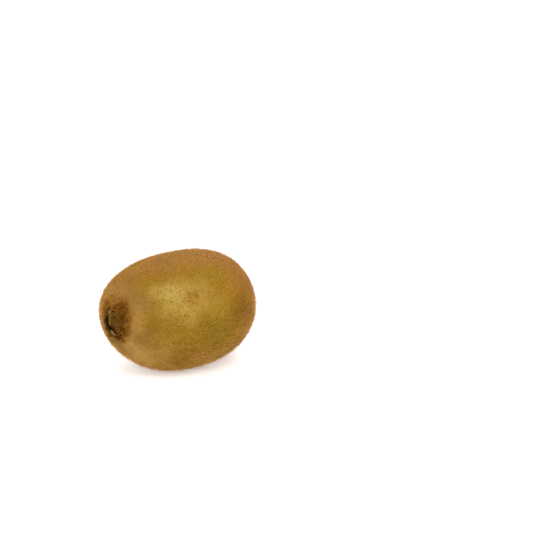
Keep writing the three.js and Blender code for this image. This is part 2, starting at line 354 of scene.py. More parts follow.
class Bench:
    """Lays out the nodes of one material."""

    FIRST_COLOUR = 6
    SECOND_COLOUR = 7
    MIXED_COLOUR = 2

    def __init__(self, name: str) -> None:
        """Starts an empty material.

        Args:
            name: The material's name.
        """
        self.material = bpy.data.materials.new(name)
        self.material.use_nodes = True
        self.tree = self.material.node_tree
        self.tree.nodes.clear()

    def node(self, kind: str, inputs: dict[str | int, Any], **settings: Any) -> bpy.types.Node:
        """Adds a node.

        Args:
            kind: The node's type, without the ShaderNode that it starts with.
            inputs: A value or another node's output for each named or numbered socket.
            **settings: The node's own settings.

        Returns:
            The node.
        """
        made = self.tree.nodes.new("ShaderNode" + kind)
        for name, value in settings.items():
            setattr(made, name, value)
        for socket, value in inputs.items():
            if isinstance(value, bpy.types.NodeSocket):
                self.tree.links.new(value, made.inputs[socket])
            else:
                made.inputs[socket].default_value = value
        return made

    def place(self) -> bpy.types.NodeSocket:
        """Returns the point of the object, in metres."""
        return self.node("TexCoord", {}).outputs["Object"]

    def mask(self, name: str) -> bpy.types.NodeSocket:
        """Returns a number that the mesh holds at each point."""
        return self.node("Attribute", {}, attribute_name=name).outputs["Fac"]

    def noise(
        self, place: bpy.types.NodeSocket, swell: float, detail: float, warp: float = 0.0
    ) -> bpy.types.NodeSocket:
        """Adds noise.

        Args:
            place: Where to read it.
            swell: The size of one swell, in millimetres.
            detail: How many finer layers it has.
            warp: How far it bends its own swells.

        Returns:
            The noise, from 0 to 1.
        """
        inputs = {"Vector": place, "Scale": 1 / (swell * MM), "Detail": detail, "Distortion": warp}
        return self.node("TexNoise", inputs).outputs["Fac"]

    def cells(self, place: bpy.types.NodeSocket, size: float) -> bpy.types.NodeSocket:
        """Returns how far each place is from the nearest of many scattered points."""
        inputs = {"Vector": place, "Scale": 1 / (size * MM)}
        return self.node("TexVoronoi", inputs).outputs["Distance"]

    def fade(
        self,
        value: bpy.types.NodeSocket,
        low: float,
        high: float,
        start: float = 0.0,
        end: float = 1.0,
    ) -> bpy.types.NodeSocket:
        """Maps a value onto a smooth ramp.

        Args:
            value: What is mapped.
            low: The value that gives the ramp's start.
            high: The value that gives its end.
            start: The ramp's first height.
            end: Its last height.

        Returns:
            The ramp's height.
        """
        inputs = {"Value": value, "From Min": low, "From Max": high, "To Min": start, "To Max": end}
        return self.node("MapRange", inputs, interpolation_type="SMOOTHSTEP").outputs["Result"]

    def math(self, operation: str, first: Any, second: Any) -> bpy.types.NodeSocket:
        """Returns the outcome of a sum on two numbers."""
        return self.node("Math", {0: first, 1: second}, operation=operation).outputs["Value"]

    def masked(self, name: str, value: bpy.types.NodeSocket, fade: Fade) -> bpy.types.NodeSocket:
        """Returns a number of the mesh, weaker where another value's ramp is low."""
        return self.math("MULTIPLY", self.mask(name), self.fade(value, *fade))

    def mix(self, share: Any, first: Any, second: Any) -> bpy.types.NodeSocket:
        """Mixes two colours.

        Args:
            share: How much of the second colour shows.
            first: The first colour.
            second: The second colour.

        Returns:
            The mixed colour.
        """
        sockets = {0: share, self.FIRST_COLOUR: first, self.SECOND_COLOUR: second}
        return self.node("Mix", sockets, data_type="RGBA").outputs[self.MIXED_COLOUR]

    def finished(
        self, bump: bpy.types.NodeSocket | None, depth: float, **inputs: Any
    ) -> bpy.types.Material:
        """Ends the material in one principled shader.

        Args:
            bump: The height of the fine relief, from 0 to 1, if any.
            depth: The fine relief's depth, in millimetres.
            **inputs: The shader's sockets, with _ for each space in their names.

        Returns:
            The material.
        """
        sockets = {name.replace("_", " "): value for name, value in inputs.items()}
        if bump is not None:
            relief = self.node("Bump", {"Height": bump, "Distance": depth * MM})
            sockets["Normal"] = relief.outputs["Normal"]
        shader = self.node("BsdfPrincipled", sockets)
        self.node("OutputMaterial", {"Surface": shader.outputs["BSDF"]})
        return self.material


@dataclass(frozen=True)
class SkinFinish:
    """Thin olive-gold skin, browner at the ends, with specks and russet blotches."""

    gold: str = "9f7510"
    olive: str = "8c700a"
    russet: str = "985f13"
    shade: str = "583c04"
    dusty: str = "987240"
    pale: str = "bb9f55"
    blotch: str = "8e5c10"
    speck: str = "8c641a"
    halo: str = "784604"
    pit: str = "2a1407"
    swell_size: float = 15.0
    swell_bend: float = 0.4
    swell_fade: Fade = (0.36, 0.62)
    mottle_size: float = 1.3
    mottle_fade: Fade = (0.35, 0.7, 0.0, 0.3)
    warmth_fade: Fade = (0.3, 0.6, 0.7, 1.0)
    rub_fade: Fade = (0.7, 0.4, 0.6, 1.0)
    blotch_fade: Fade = (0.25, 0.65, 0.35, 1.0)
    halo_fade: Fade = (0.3, 0.7, 0.7, 1.0)
    speck_spacing: float = 1.35
    speck_fade: Fade = (0.42, 0.2)
    sparse_size: float = 2.4
    sparse_fade: Fade = (0.35, 0.55, 0.35, 1.0)
    pore_spacing: float = 0.55
    pore_fade: Fade = (0.0, 0.5)
    pore_share: float = 0.5
    grain_size: float = 0.9
    grain_depth: float = 0.12
    roughness: Fade = (0.3, 0.7, 0.5, 0.66)
    gloss: float = 0.1

    def material(self) -> bpy.types.Material:
        """Makes the skin's material.

        Returns:
            The material, which reads the skin's masks.
        """
        bench = Bench("kiwi_skin")
        place = bench.place()
        swells = bench.noise(place, self.swell_size, 2, self.swell_bend)
        mottle = bench.noise(place, self.mottle_size, 3)
        olive = bench.fade(swells, *self.swell_fade)
        colour = bench.mix(olive, paint(self.gold), paint(self.olive))
        warmth = bench.masked("warmth", mottle, self.warmth_fade)
        colour = bench.mix(warmth, colour, paint(self.russet))
        colour = bench.mix(bench.fade(mottle, *self.mottle_fade), colour, paint(self.russet))
        # The shade mask is painted shade on the bare skin between the hairs, more on the lower
        # half.
        for mask, coat in (("dusty", self.dusty), ("green", self.olive), ("shade", self.shade)):
            colour = bench.mix(bench.mask(mask), colour, paint(coat))
        # Pale skin where the fuzz is thin; on the -Y side, facing the key lamp, it is partly a
        # painted highlight.
        rub_and_highlight = bench.masked("rub_and_highlight", mottle, self.rub_fade)
        colour = bench.mix(rub_and_highlight, colour, paint(self.pale))
        specks = bench.fade(bench.cells(place, self.speck_spacing), *self.speck_fade)
        sparse = bench.fade(bench.noise(place, self.sparse_size, 1), *self.sparse_fade)
        colour = bench.mix(bench.math("MULTIPLY", specks, sparse), colour, paint(self.speck))
        blotch = bench.masked("blotch", mottle, self.blotch_fade)
        colour = bench.mix(blotch, colour, paint(self.blotch))
        halo = bench.masked("halo", mottle, self.halo_fade)
        colour = bench.mix(halo, colour, paint(self.halo))
        # Painted shade: the skin inside the pit goes nearly black.
        colour = bench.mix(bench.mask("pit"), colour, paint(self.pit))
        pores = bench.fade(bench.cells(place, self.pore_spacing), *self.pore_fade)
        pores = bench.math("MULTIPLY", pores, self.pore_share)
        return bench.finished(
            bench.math("ADD", pores, bench.noise(place, self.grain_size, 3)),
            self.grain_depth,
            Base_Color=colour,
            Roughness=bench.fade(mottle, *self.roughness),
            Specular_IOR_Level=self.gloss,
        )


@dataclass(frozen=True)
class FuzzFinish:
    """Dry hair. The map's first coordinate sets its tint, and the second runs from gold to tan."""

    name: str
    gold: tuple[str, str, str]
    tan: tuple[str, str, str]
    roughness: float = 0.75
    gloss: float = 0.06

    def material(self) -> bpy.types.Material:
        """Makes the hair's material.

        Returns:
            The material.
        """
        bench = Bench(self.name)
        spot = bench.node("UVMap", {}, uv_map=CORNER_MAP).outputs["UV"]
        parts = bench.node("SeparateXYZ", {"Vector": spot})
        sides = []
        for dark, middle, light in (self.gold, self.tan):
            tints = bench.node("ValToRGB", {"Fac": parts.outputs["X"]})
            stops = tints.color_ramp.elements
            stops[0].color = paint(dark)
            stops[1].color = paint(light)
            stops.new(0.5).color = paint(middle)
            sides.append(tints.outputs["Color"])
        return bench.finished(
            None,
            0.0,
            Base_Color=bench.mix(parts.outputs["Y"], *sides),
            Roughness=self.roughness,
            Specular_IOR_Level=self.gloss,
        )


@dataclass(frozen=True)
class DryFinish:
    """Streaked, mottled dried matter: painted shade in hollows, bleached tops, painted highlights.
    """

    name: str
    body: str
    pale: str
    painted_shade_and_marks: str
    worn_and_lit: str
    streak: float = 0.5
    grain: float = 0.08
    streak_bend: float = 1.2
    streak_fade: Fade = (0.35, 0.68)
    mottle_fade: Fade = (0.4, 0.7, 0.0, 0.5)
    worn_fade: Fade = (0.3, 0.6, 0.3, 1.0)
    roughness: Fade = (0.3, 0.7, 0.85, 0.95)
    gloss: float = 0.06

    def material(self) -> bpy.types.Material:
        """Makes the dried matter's material.

        Returns:
            The material, which reads the masks of painted shade and of bleached and lit places.
        """
        bench = Bench(self.name)
        place = bench.place()
        streaks = bench.noise(place, self.streak, 4, self.streak_bend)
        mottle = bench.noise(place, self.streak * 3, 2)
        pale = bench.fade(streaks, *self.streak_fade)
        colour = bench.mix(pale, paint(self.body), paint(self.pale))
        colour = bench.mix(bench.fade(mottle, *self.mottle_fade), colour, paint(self.body))
        # Bleached tops, and on the scar a painted highlight on the +Y side, the side that the light
        # reaches.
        worn_and_lit = bench.masked("worn_and_lit", streaks, self.worn_fade)
        colour = bench.mix(worn_and_lit, colour, paint(self.worn_and_lit))
        # Painted shade: near black in hollows, gaps and shadows, with the scar's own dark crumbs
        # and rings.
        colour = bench.mix(bench.mask("painted_shade_and_marks"), colour, paint(self.painted_shade_and_marks))
        return bench.finished(
            streaks,
            self.grain,
            Base_Color=colour,
            Roughness=bench.fade(mottle, *self.roughness),
            Specular_IOR_Level=self.gloss,
        )


@dataclass(frozen=True)
class FruitForm:
    """The formula of the body: a bowed, tapered oval with a pit and a dimple in its ends."""

    length: float = 67.7
    width: float = 53.6
    height: float = 48.6
    stalk_fullness: float = 2.39
    blossom_fullness: float = 2.37
    taper: float = 0.038
    side_bow: float = 0.4
    upward_bow: float = 1.35
    blossom_rise: float = 0.25
    stalk_lean: float = 1.8
    lobe: float = 0.006
    lobe_turn: float = -1.26
    lump: float = 0.003
    round_share: float = 0.25
    oval_share: float = 0.65
    rest_depth: float = 0.32

    @property
    def mean_radius(self) -> float:
        """Returns the girth's mean radius."""
        return (self.width + self.height) / 4

    @property
    def lean_slope(self) -> float:
        """Returns the slope of the stalk end's face."""
        return self.stalk_lean / (self.height / 2)

    def centreline(self, along: np.ndarray) -> np.ndarray:
        """Finds the middle of the girth.

        Args:
            along: Places along the body, from -1 at the stalk end to 1 at the other.

        Returns:
            The middle at each place.
        """
        bow = along * along - 1 / 3
        rise = self.upward_bow * bow + self.blossom_rise * along
        return np.stack([self.length / 2 * along, self.side_bow * bow, rise], axis=-1)

    def skin(self, polar: np.ndarray, around: np.ndarray, sink: np.ndarray) -> np.ndarray:
        """Finds points of the skin.

        Args:
            polar: Angles from 0 at the stalk end to pi at the blossom end.
            around: Angles from +Y through +Z.
            sink: How far each point is pressed in from its end.

        Returns:
            One point for each set of numbers.
        """
        stalk_half = polar < math.pi / 2
        power = 2 / np.where(stalk_half, self.stalk_fullness, self.blossom_fullness)
        along = np.where(stalk_half, -1, 1) * np.abs(np.cos(polar)) ** power
        fullness = np.sin(polar) ** power
        oval = ramp(fullness, self.round_share, self.oval_share)
        lobes = self.lobe * np.cos(3 * around - self.lobe_turn)
        lumps = self.lump * (np.sin(2 * around + 5 * along) + np.sin(4 * around - 7 * along + 1))
        mean = self.mean_radius
        radius = mean * fullness * (1 + oval * (self.taper * along + lobes + lumps))
        up = radius * np.sin(around) * (mean + oval * (self.height / 2 - mean)) / mean
        side = radius * np.cos(around) * (mean + oval * (self.width / 2 - mean)) / mean
        lean = np.where(stalk_half, self.lean_slope, 0.0)
        inward = np.where(stalk_half, sink, -sink) - lean * along * along * up
        offset = np.stack(np.broadcast_arrays(inward, side, up + lean * sink), axis=-1)
        return self.centreline(along) + offset

    def polar_of(self, radius: np.ndarray, fullness: float) -> np.ndarray:
        """Returns the angle at which the girth near an end has a given radius."""
        return np.arcsin((radius / self.mean_radius) ** (fullness / 2))


@dataclass(frozen=True)
class Pit:
    """The pit that the stalk stood in, with its low lip."""

    radius: float = 6.35
    depth: float = 3.0
    wall: float = 0.55
    lip_width: float = 2.4
    lip_height: float = 0.22
    reach: float = 3.0

    @property
    def rim(self) -> float:
        """Returns the radius of the pit's rim."""
        return self.radius + self.wall

    def sink(self, radius: np.ndarray) -> np.ndarray:
        """Finds how far the skin is pressed in.

        Args:
            radius: Distances from the middle of the pit.

        Returns:
            How far it is pressed in at each, and below 0 on the lip.
        """
        rim, lip = self.rim, self.lip_width
        places = [self.radius, self.radius + self.wall / 2, rim, rim + lip / 4, rim + lip * 0.75]
        heights = [self.depth, self.depth / 3, 0.0, -self.lip_height, -self.lip_height / 3, 0.0]
        return eased(radius, [*places, rim + self.reach], heights)


@dataclass(frozen=True)
class Dimple:
    """The shallow dimple round the dried styles."""

    radius: float = 2.7
    depth: float = 0.75
    wall: float = 2.2
    halfway: float = 0.4
    reach: float = 3.52

    def sink(self, radius: np.ndarray) -> np.ndarray:
        """Returns how far the skin is pressed in at a radius."""
        places = [self.radius, self.radius + self.wall / 2, self.radius + self.wall]
        return eased(radius, places, [self.depth, self.depth * self.halfway, 0.0])


@dataclass(frozen=True)
class Spot:
    """A patch of the skin with a straying edge, full over the inner fifth of its size."""

    place: tuple[float, float, float]
    size: float
    strength: float = 1.0

    EDGE = (1.0, 0.2)

    def mask(self, points: np.ndarray, wander: np.ndarray) -> np.ndarray:
        """Finds how much of the spot shows.

        Args:
            points: Points of the skin.
            wander: How far the spot's edge strays at each, as a share of its size.

        Returns:
            From 0 outside to the spot's strength in its middle.
        """
        away = np.linalg.norm(points - self.place, axis=-1) / self.size + wander
        return self.strength * ramp(away, *self.EDGE)


@dataclass(frozen=True)
class DarkRings:
    """The dark ring round the pit, off its middle, and the faint one round the dimple."""

    shift: tuple[float, float, float] = (0.0, -1.0, 2.0)
    reach: Span = (12.4, 6.2)
    strength: float = 0.9
    far_way: tuple[float, float, float] = (0.0, 0.85, -0.5)
    far_reach: Span = (1.0, 5.0)
    far_loss: float = 0.5
    blossom_reach: Span = (6.5, 2.5)
    blossom_strength: float = 0.7
    streaks: SoftNoise = SoftNoise(10, 0.16, 1.6)


@dataclass(frozen=True)
class TanRule:
    """What makes the fuzz tan instead of gold, as shares that add up to 1 at the most."""

    everywhere: float = 0.08
    ends: float = 0.75
    blossom_places: Span = (3.0, 25.0)
    stalk_places: Span = (-18.0, -33.0)
    top: float = 0.7
    top_heights: Span = (40.0, 47.5)
    under: float = 0.5
    under_heights: Span = (17.0, 6.0)
    cheek_loss: float = 0.35
    cheek_heights: Span = (30.0, 16.0)
    green_loss: float = 0.55
    most: float = 0.94
    drift: SoftNoise = SoftNoise(13, 8.0, 0.25)


@dataclass(frozen=True)
class SkinRule:
    """What makes the bare skin browner, dustier, paler, or darker as painted shade, as shares."""

    warm_everywhere: float = 0.12
    warm_end: float = 0.6
    warm_places: Span = (2.0, 22.0)
    warm_top: float = 0.4
    warm_heights: Span = (38.0, 47.0)
    warm_rub_loss: float = 0.3
    warm_drift: SoftNoise = SoftNoise(9, 12.0, 0.3)
    shade_everywhere: float = 0.08
    shade_belly: float = 0.12
    shade_tone: float = 0.6
    darkest: float = 0.6
    dusty: float = 0.55
    dusty_places: Span = (-22.0, -30.0)
    rubbed_and_highlit: float = 0.85


@dataclass
class Skin:
    """The fruit's body, with its relief and the masks that its finish and its fuzz read."""

    form: FruitForm = field(default_factory=FruitForm)
    pit: Pit = field(default_factory=Pit)
    dimple: Dimple = field(default_factory=Dimple)
    finish: SkinFinish = field(default_factory=SkinFinish)
    dark_rings: DarkRings = field(default_factory=DarkRings)
    tan_rule: TanRule = field(default_factory=TanRule)
    skin_rule: SkinRule = field(default_factory=SkinRule)
    columns: int = 264
    body_rings: int = 190
    wall_rings: int = 6
    end_step: float = 0.3
    soft_relief: SoftNoise = SoftNoise(3, 5.0, 0.1)
    fine_relief: SoftNoise = SoftNoise(4, 1.6, 0.05)
    relief_heights: Span = (0.0, 1.5)
    relief_from_rim: float = 2.0
    belly_heights: Span = (36.0, 22.0)
    cheek_places: Span = (-18.0, -30.0)
    halo_dark: float = 0.9
    belly_light: float = 0.1
    pit_edge: Span = (0.2, -0.3)
    rub_wander: SoftNoise = SoftNoise(7, 6.0, 0.25)
    blotch_wander: SoftNoise = SoftNoise(8, 1.6, 0.45)
    green_wander: SoftNoise = SoftNoise(12, 5.0, 0.35)
    tint_wander: SoftNoise = SoftNoise(14, 4.0, 0.3)
    tone_drift: SoftNoise = SoftNoise(15, 9.0, 0.3)
    blotches: tuple[Spot, ...] = (
        Spot((-9.3, -21.9, 36.3), 4.8, 1.0),
        Spot((-13.0, -22.2, 34.9), 2.8, 0.9),
        Spot((14.0, 24.0, 33.0), 4.5, 0.7),
        Spot((20.0, -17.0, 12.0), 3.4, 0.5),
        Spot((-16.0, 21.0, 15.0), 3.8, 0.6),
        Spot((6.0, 4.0, 48.5), 3.6, 0.5),
    )
    # Pale patches where the fuzz is thin; those on the -Y side, facing the key lamp, are partly a
    # painted highlight.
    rubbed_and_highlit: tuple[Spot, ...] = (
        Spot((-16.4, -20.2, 36.0), 15.0, 0.5),
        Spot((-19.6, -17.4, 38.0), 9.0, 0.45),
        Spot((-13.4, -18.0, 40.6), 8.0, 0.4),
        Spot((-12.6, -23.2, 27.6), 5.0, 0.3),
        Spot((-12.6, -24.0, 30.8), 9.0, 0.55),
        Spot((-7.0, -20.6, 38.6), 9.0, 0.4),
        Spot((-30.5, -7.0, 15.0), 8.5, 0.4),
        Spot((-24.0, -14.0, 13.0), 11.0, 0.5),
        Spot((-6.0, -24.2, 32.5), 6.0, 0.35),
        Spot((-32.8, 4.5, 33.5), 6.0, 0.3),
        Spot((-31.5, -11.0, 28.0), 8.0, 0.2),
        Spot((-2.0, -23.5, 34.5), 8.5, 0.35),
        Spot((14.0, 20.0, 38.0), 14.0, 0.8),
        Spot((-14.0, 20.0, 12.0), 12.0, 0.7),
    )
    green: tuple[Spot, ...] = (
        Spot((-25.0, -19.0, 28.0), 8.5, 0.95),
        Spot((3.0, -18.0, 42.5), 12.0, 0.6),
        Spot((3.0, -24.6, 33.0), 7.5, 0.7),
        Spot((-4.0, -25.0, 31.0), 9.0, 0.5),
        Spot((-4.0, -26.0, 20.0), 9.0, 0.6),
        Spot((16.0, 12.0, 42.0), 13.0, 0.8),
        Spot((-8.0, 24.0, 22.0), 12.0, 0.8),
    )
    tints: tuple[Spot, ...] = (
        Spot((2.0, -24.5, 33.3), 11.0, 0.5),
        Spot((8.0, -18.0, 41.7), 12.0, 0.3),
        Spot((15.0, -25.0, 28.0), 10.0, -0.15),
        Spot((-25.3, -18.6, 26.0), 9.0, -0.5),
        Spot((-3.0, -26.0, 20.0), 10.0, -0.1),
        Spot((-12.0, -21.0, 11.0), 16.0, -0.25),
        Spot((-28.0, -14.0, 18.0), 10.5, -0.65),
        Spot((-31.8, -5.5, 33.5), 6.0, -0.1),
        Spot((-33.2, 0.0, 35.4), 5.2, 1.2),
        Spot((-32.8, 0.0, 16.8), 6.0, -1.8),
        Spot((-31.2, -4.0, 14.5), 8.0, -1.0),
        # Painted shadow beside the scar on its -Y side, with darker hair there too.
        Spot((-33.0, -5.0, 28.0), 6.0, -1.0),
        Spot((-32.5, -5.5, 21.0), 4.5, -0.5),
        Spot((-31.5, 8.0, 26.5), 7.0, 0.7),
        Spot((-33.2, 4.6, 19.4), 4.0, -1.2),
        Spot((-33.4, 7.0, 22.8), 2.8, -0.8),
        Spot((-21.0, -12.0, 42.0), 7.0, 0.5),
        Spot((13.0, -25.0, 25.0), 12.0, -0.5),
        Spot((10.0, 22.0, 36.0), 14.0, 0.35),
        Spot((-12.0, 24.0, 26.0), 12.0, -0.35),
    )

    SIDE_POINTS = 2000

    def __post_init__(self) -> None:
        """Works out the body's points and its place in the frame."""
        polar, sink = self._stations()
        rings = self.form.skin(polar[:, None], turns(self.columns)[None], sink[:, None])
        low = rings[..., 2].min() + self.form.rest_depth
        rings[..., 2] = np.maximum(rings[..., 2], low)
        first = self.form.skin(np.array(0.0), np.array(0.0), np.array(self.pit.depth))
        last = self.form.skin(np.array(math.pi), np.array(0.0), np.array(self.dimple.depth))
        raw = ringed(first, rings, last)
        self.shift = self._seat(raw.points)
        smooth = raw.moved(np.eye(3), self.shift)
        self.solid = smooth.swelled(self._relief(smooth.points))
        self.solid.points[:, 2] = np.maximum(self.solid.points[:, 2], 0.0)
        self.directions = self.solid.normals()
        self.ring_count = len(polar)

    def _stations(self) -> tuple[np.ndarray, np.ndarray]:
        """Sets out the rings, close together at the ends and even along the side.

        Returns:
            Each ring's polar angle, and how far it is pressed in from its end.
        """
        pit, dimple = self.pit, self.dimple
        radii = np.arange(self.end_step, pit.rim + pit.reach, self.end_step)
        wall = np.linspace(pit.radius, pit.rim, self.wall_rings)
        radii = np.unique(np.concatenate([radii[np.abs(radii - pit.rim) > pit.wall], wall]))
        stalk = self.form.polar_of(radii, self.form.stalk_fullness)
        end = np.arange(dimple.radius + dimple.reach, 0, -self.end_step)
        blossom = math.pi - self.form.polar_of(end, self.form.blossom_fullness)
        middle = self._even_steps(stalk[-1], blossom[0])
        sinks = [pit.sink(radii), np.zeros(len(middle)), dimple.sink(end)]
        return np.concatenate([stalk, middle, blossom]), np.concatenate(sinks)

    def _even_steps(self, start: float, end: float) -> np.ndarray:
        """Parts the body's side into even rings.

        Args:
            start: The polar angle that the side starts at.
            end: The polar angle that it ends at.

        Returns:
            The rings' polar angles.
        """
        fine = np.linspace(start, end, self.SIDE_POINTS)
        line = self.form.skin(fine, np.array(math.pi / 2), np.array(0.0))
        steps = np.linalg.norm(np.diff(line, axis=0), axis=-1)
        length = np.concatenate([[0.0], np.cumsum(steps)])
        wanted = np.linspace(0, length[-1], self.body_rings + 2)[1:-1]
        return np.interp(wanted, length, fine)

    def _seat(self, points: np.ndarray) -> np.ndarray:
        """Finds where the body belongs in the frame.

        Args:
            points: The body's points, as the formula gives them.

        Returns:
            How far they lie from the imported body.
        """
        low, high = (np.array(corner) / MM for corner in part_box("fruit"))
        own_low, own_high = points.min(axis=0), points.max(axis=0)
        shift = (low + high - own_low - own_high) / 2
        shift[2] = low[2] - own_low[2]
        return shift

    def _relief(self, points: np.ndarray) -> np.ndarray:
        """Finds the skin's soft unevenness, which dies out at its flat spot and in the pit.

        Args:
            points: Points of the smooth body.

        Returns:
            How far the skin stands out at each.
        """
        uneven = self.soft_relief.at(points) + self.fine_relief.at(points)
        rim = self.pit.rim
        free = ramp(points[:, 2], *self.relief_heights)
        free = free * ramp(self.from_pit(points), rim, rim + self.relief_from_rim)
        return uneven * free

    @property
    def pit_centre(self) -> np.ndarray:
        """Returns the middle of the pit's mouth."""
        return self.form.centreline(np.array(-1.0)) + self.shift

    @property
    def dimple_centre(self) -> np.ndarray:
        """Returns the middle of the dimple's mouth."""
        return self.form.centreline(np.array(1.0)) + self.shift

    def from_pit(self, points: np.ndarray) -> np.ndarray:
        """Returns each point's distance from the middle of the pit's mouth."""
        return np.linalg.norm(points - self.pit_centre, axis=-1)

    def from_halo(self, points: np.ndarray) -> np.ndarray:
        """Returns each point's distance from the middle of the dark ring round the pit."""
        return np.linalg.norm(points - self.pit_centre - self.dark_rings.shift, axis=-1)

    def from_dimple(self, points: np.ndarray) -> np.ndarray:
        """Returns each point's distance from the middle of the dimple's mouth."""
        return np.linalg.norm(points - self.dimple_centre, axis=-1)

    def rub_and_highlight(self, points: np.ndarray) -> np.ndarray:
        """Returns how much fuzz is lost to rubbing, from 0 to 1, its paleness partly a painted
        highlight.
        """
        wander = self.rub_wander.at(points)
        return np.minimum(np.sum([spot.mask(points, wander) for spot in self.rubbed_and_highlit], axis=0), 1.0)

    def olive(self, points: np.ndarray) -> np.ndarray:
        """Returns how green the skin is, from 0 to 1."""
        wander = self.green_wander.at(points)
        return np.max([spot.mask(points, wander) for spot in self.green], axis=0)

    def tone(self, points: np.ndarray) -> np.ndarray:
        """Finds how much lighter than elsewhere the fruit is.

        Args:
            points: Points of the skin.

        Returns:
            The share at each, below 0 where the fruit is darker.
        """
        wander = self.tint_wander.at(points)
        spots = np.sum([spot.mask(points, wander) for spot in self.tints], axis=0)
        return spots + self.tone_drift.at(points)

    def belly(self, points: np.ndarray) -> np.ndarray:
        """Returns where the fruit's lower half lies, on which the fuzz stands out more."""
        return ramp(points[:, 2], *self.belly_heights)

    def cheek(self, points: np.ndarray) -> np.ndarray:
        """Returns where the skin lies near the stalk end, where the fuzz is evenest."""
        return ramp(points[:, 0], *self.cheek_places)

    def lightness(self, points: np.ndarray) -> np.ndarray:
        """Returns how much lighter than elsewhere the fuzz is: below 0 where it is darker."""
        halo = self.halo_dark * self.halo(points) ** 2
        return self.tone(points) + self.rub_and_highlight(points) - halo + self.belly_light * self.belly(points)

    def tan(self, points: np.ndarray) -> np.ndarray:
        """Finds how tan the fuzz is: more at the ends, along the top and underneath.

        Args:
            points: Points of the skin.

        Returns:
            The share at each, from 0 to 1.
        """
        rule, along, height = self.tan_rule, points[:, 0], points[:, 2]
        ends = np.maximum(ramp(along, *rule.blossom_places), ramp(along, *rule.stalk_places))
        top = ramp(height, *rule.top_heights)
        under = rule.under * ramp(height, *rule.under_heights)
        cheek = rule.cheek_loss * self.cheek(points) * ramp(height, *rule.cheek_heights)
        gold = cheek + rule.green_loss * self.olive(points)
        share = rule.everywhere + rule.ends * ends + rule.top * top + under - gold
        return np.clip(share + rule.drift.at(points), 0, rule.most)

    def blotch(self, points: np.ndarray) -> np.ndarray:
        """Returns how russet the skin is, from 0 to 1."""
        wander = self.blotch_wander.at(points)
        return np.max([spot.mask(points, wander) for spot in self.blotches], axis=0)

    def warmth(self, points: np.ndarray) -> np.ndarray:
        """Finds how brown the skin is: more to the blossom end and along the top.

        Args:
            points: Points of the skin.

        Returns:
            The share at each, from 0 to 1.
        """
        rule = self.skin_rule
        end = rule.warm_end * ramp(points[:, 0], *rule.warm_places)
        top = rule.warm_top * ramp(points[:, 2], *rule.warm_heights)
        share = rule.warm_everywhere + end + top - rule.warm_rub_loss * self.rub_and_highlight(points)
        return np.clip(share + rule.warm_drift.at(points), 0, 1)

    def halo(self, points: np.ndarray) -> np.ndarray:
        """Finds the dark ring round the pit and the faint one round the dimple.

        Args:
            points: Points of the skin.

        Returns:
            How dark they are at each, from 0 to 1.
        """
        rings = self.dark_rings
        streak = rings.streaks.at(unit(points - self.pit_centre))
        strength = rings.strength - rings.far_loss * self.far_side(points)
        stalk = strength * ramp(self.from_halo(points) + streak, *rings.reach)
        blossom = ramp(self.from_dimple(points) + streak / 2, *rings.blossom_reach)
        return np.maximum(stalk, rings.blossom_strength * blossom)

    def far_side(self, points: np.ndarray) -> np.ndarray:
        """Returns where the stalk end's lower and +Y side lies, round which the fuzz is paler."""
        rings = self.dark_rings
        return ramp((points - self.pit_centre) @ np.array(rings.far_way), *rings.far_reach)

    def floor_of_pit(self, points: np.ndarray) -> np.ndarray:
        """Returns where the skin lies inside the pit."""
        low, high = self.pit_edge
        return ramp(self.from_pit(points), self.pit.rim + low, self.pit.rim + high)

    def _corner_map(self) -> np.ndarray:
        """Lays the skin out flat, turns across and rings down.

        Returns:
            The two coordinates of each triangle's corners.
        """
        columns, rings = self.columns, self.ring_count
        number = self.solid.triangles - 1
        across = (number % columns) / columns
        down = (number // columns + 1) / (rings + 1)
        wraps = (np.ptp(across, axis=1) > 0.5)[:, None] & (across < 0.5)
        across = np.where(wraps, across + 1.0, across)
        poles = (self.solid.triangles == 0) | (self.solid.triangles == len(self.solid.points) - 1)
        beside = (across.sum(axis=1, keepdims=True) - across) / 2
        across = np.where(poles, beside, across)
        down = np.where(self.solid.triangles == 0, 0.0, down)
        return np.stack([across, np.minimum(down, 1.0)], axis=-1)

    def _masks(self) -> dict[str, np.ndarray]:
        """Works out the masks that the skin's material reads.

        Returns:
            A share from 0 to 1 at each point, by the mask's name.
        """
        points, rule = self.solid.points, self.skin_rule
        # Painted shade: a little everywhere, more on the lower half and where the tone is low.
        dark = rule.shade_everywhere + rule.shade_belly * self.belly(points)
        dark = dark - rule.shade_tone * self.tone(points)
        return {
            "warmth": self.warmth(points),
            "blotch": self.blotch(points),
            "halo": self.halo(points),
            # Painted shade inside the pit.
            "pit": self.floor_of_pit(points),
            # Pale skin where the fuzz is thin, partly a painted highlight.
            "rub_and_highlight": rule.rubbed_and_highlit * self.rub_and_highlight(points),
            "dusty": rule.dusty * ramp(points[:, 0], *rule.dusty_places),
            "green": self.olive(points),
            "shade": np.clip(dark, 0, rule.darkest),
        }

    def build(self) -> bpy.types.Object:
        """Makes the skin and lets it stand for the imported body.

        Returns:
            The skin.
        """
        material = self.finish.material()
        piece = make_piece("skin", self.solid, material, self._corner_map(), self._masks())
        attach(piece, ROOT)
        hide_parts("fruit")
        return piece


class HairShape(Enum):
    """How a hair is modelled, by the number of points along it."""

    STRAIGHT = 2
    BENT = 3


class Comb(Enum):
    """Which way a patch of hair lies."""

    TO_BLOSSOM = 1
    TO_STALK = -1


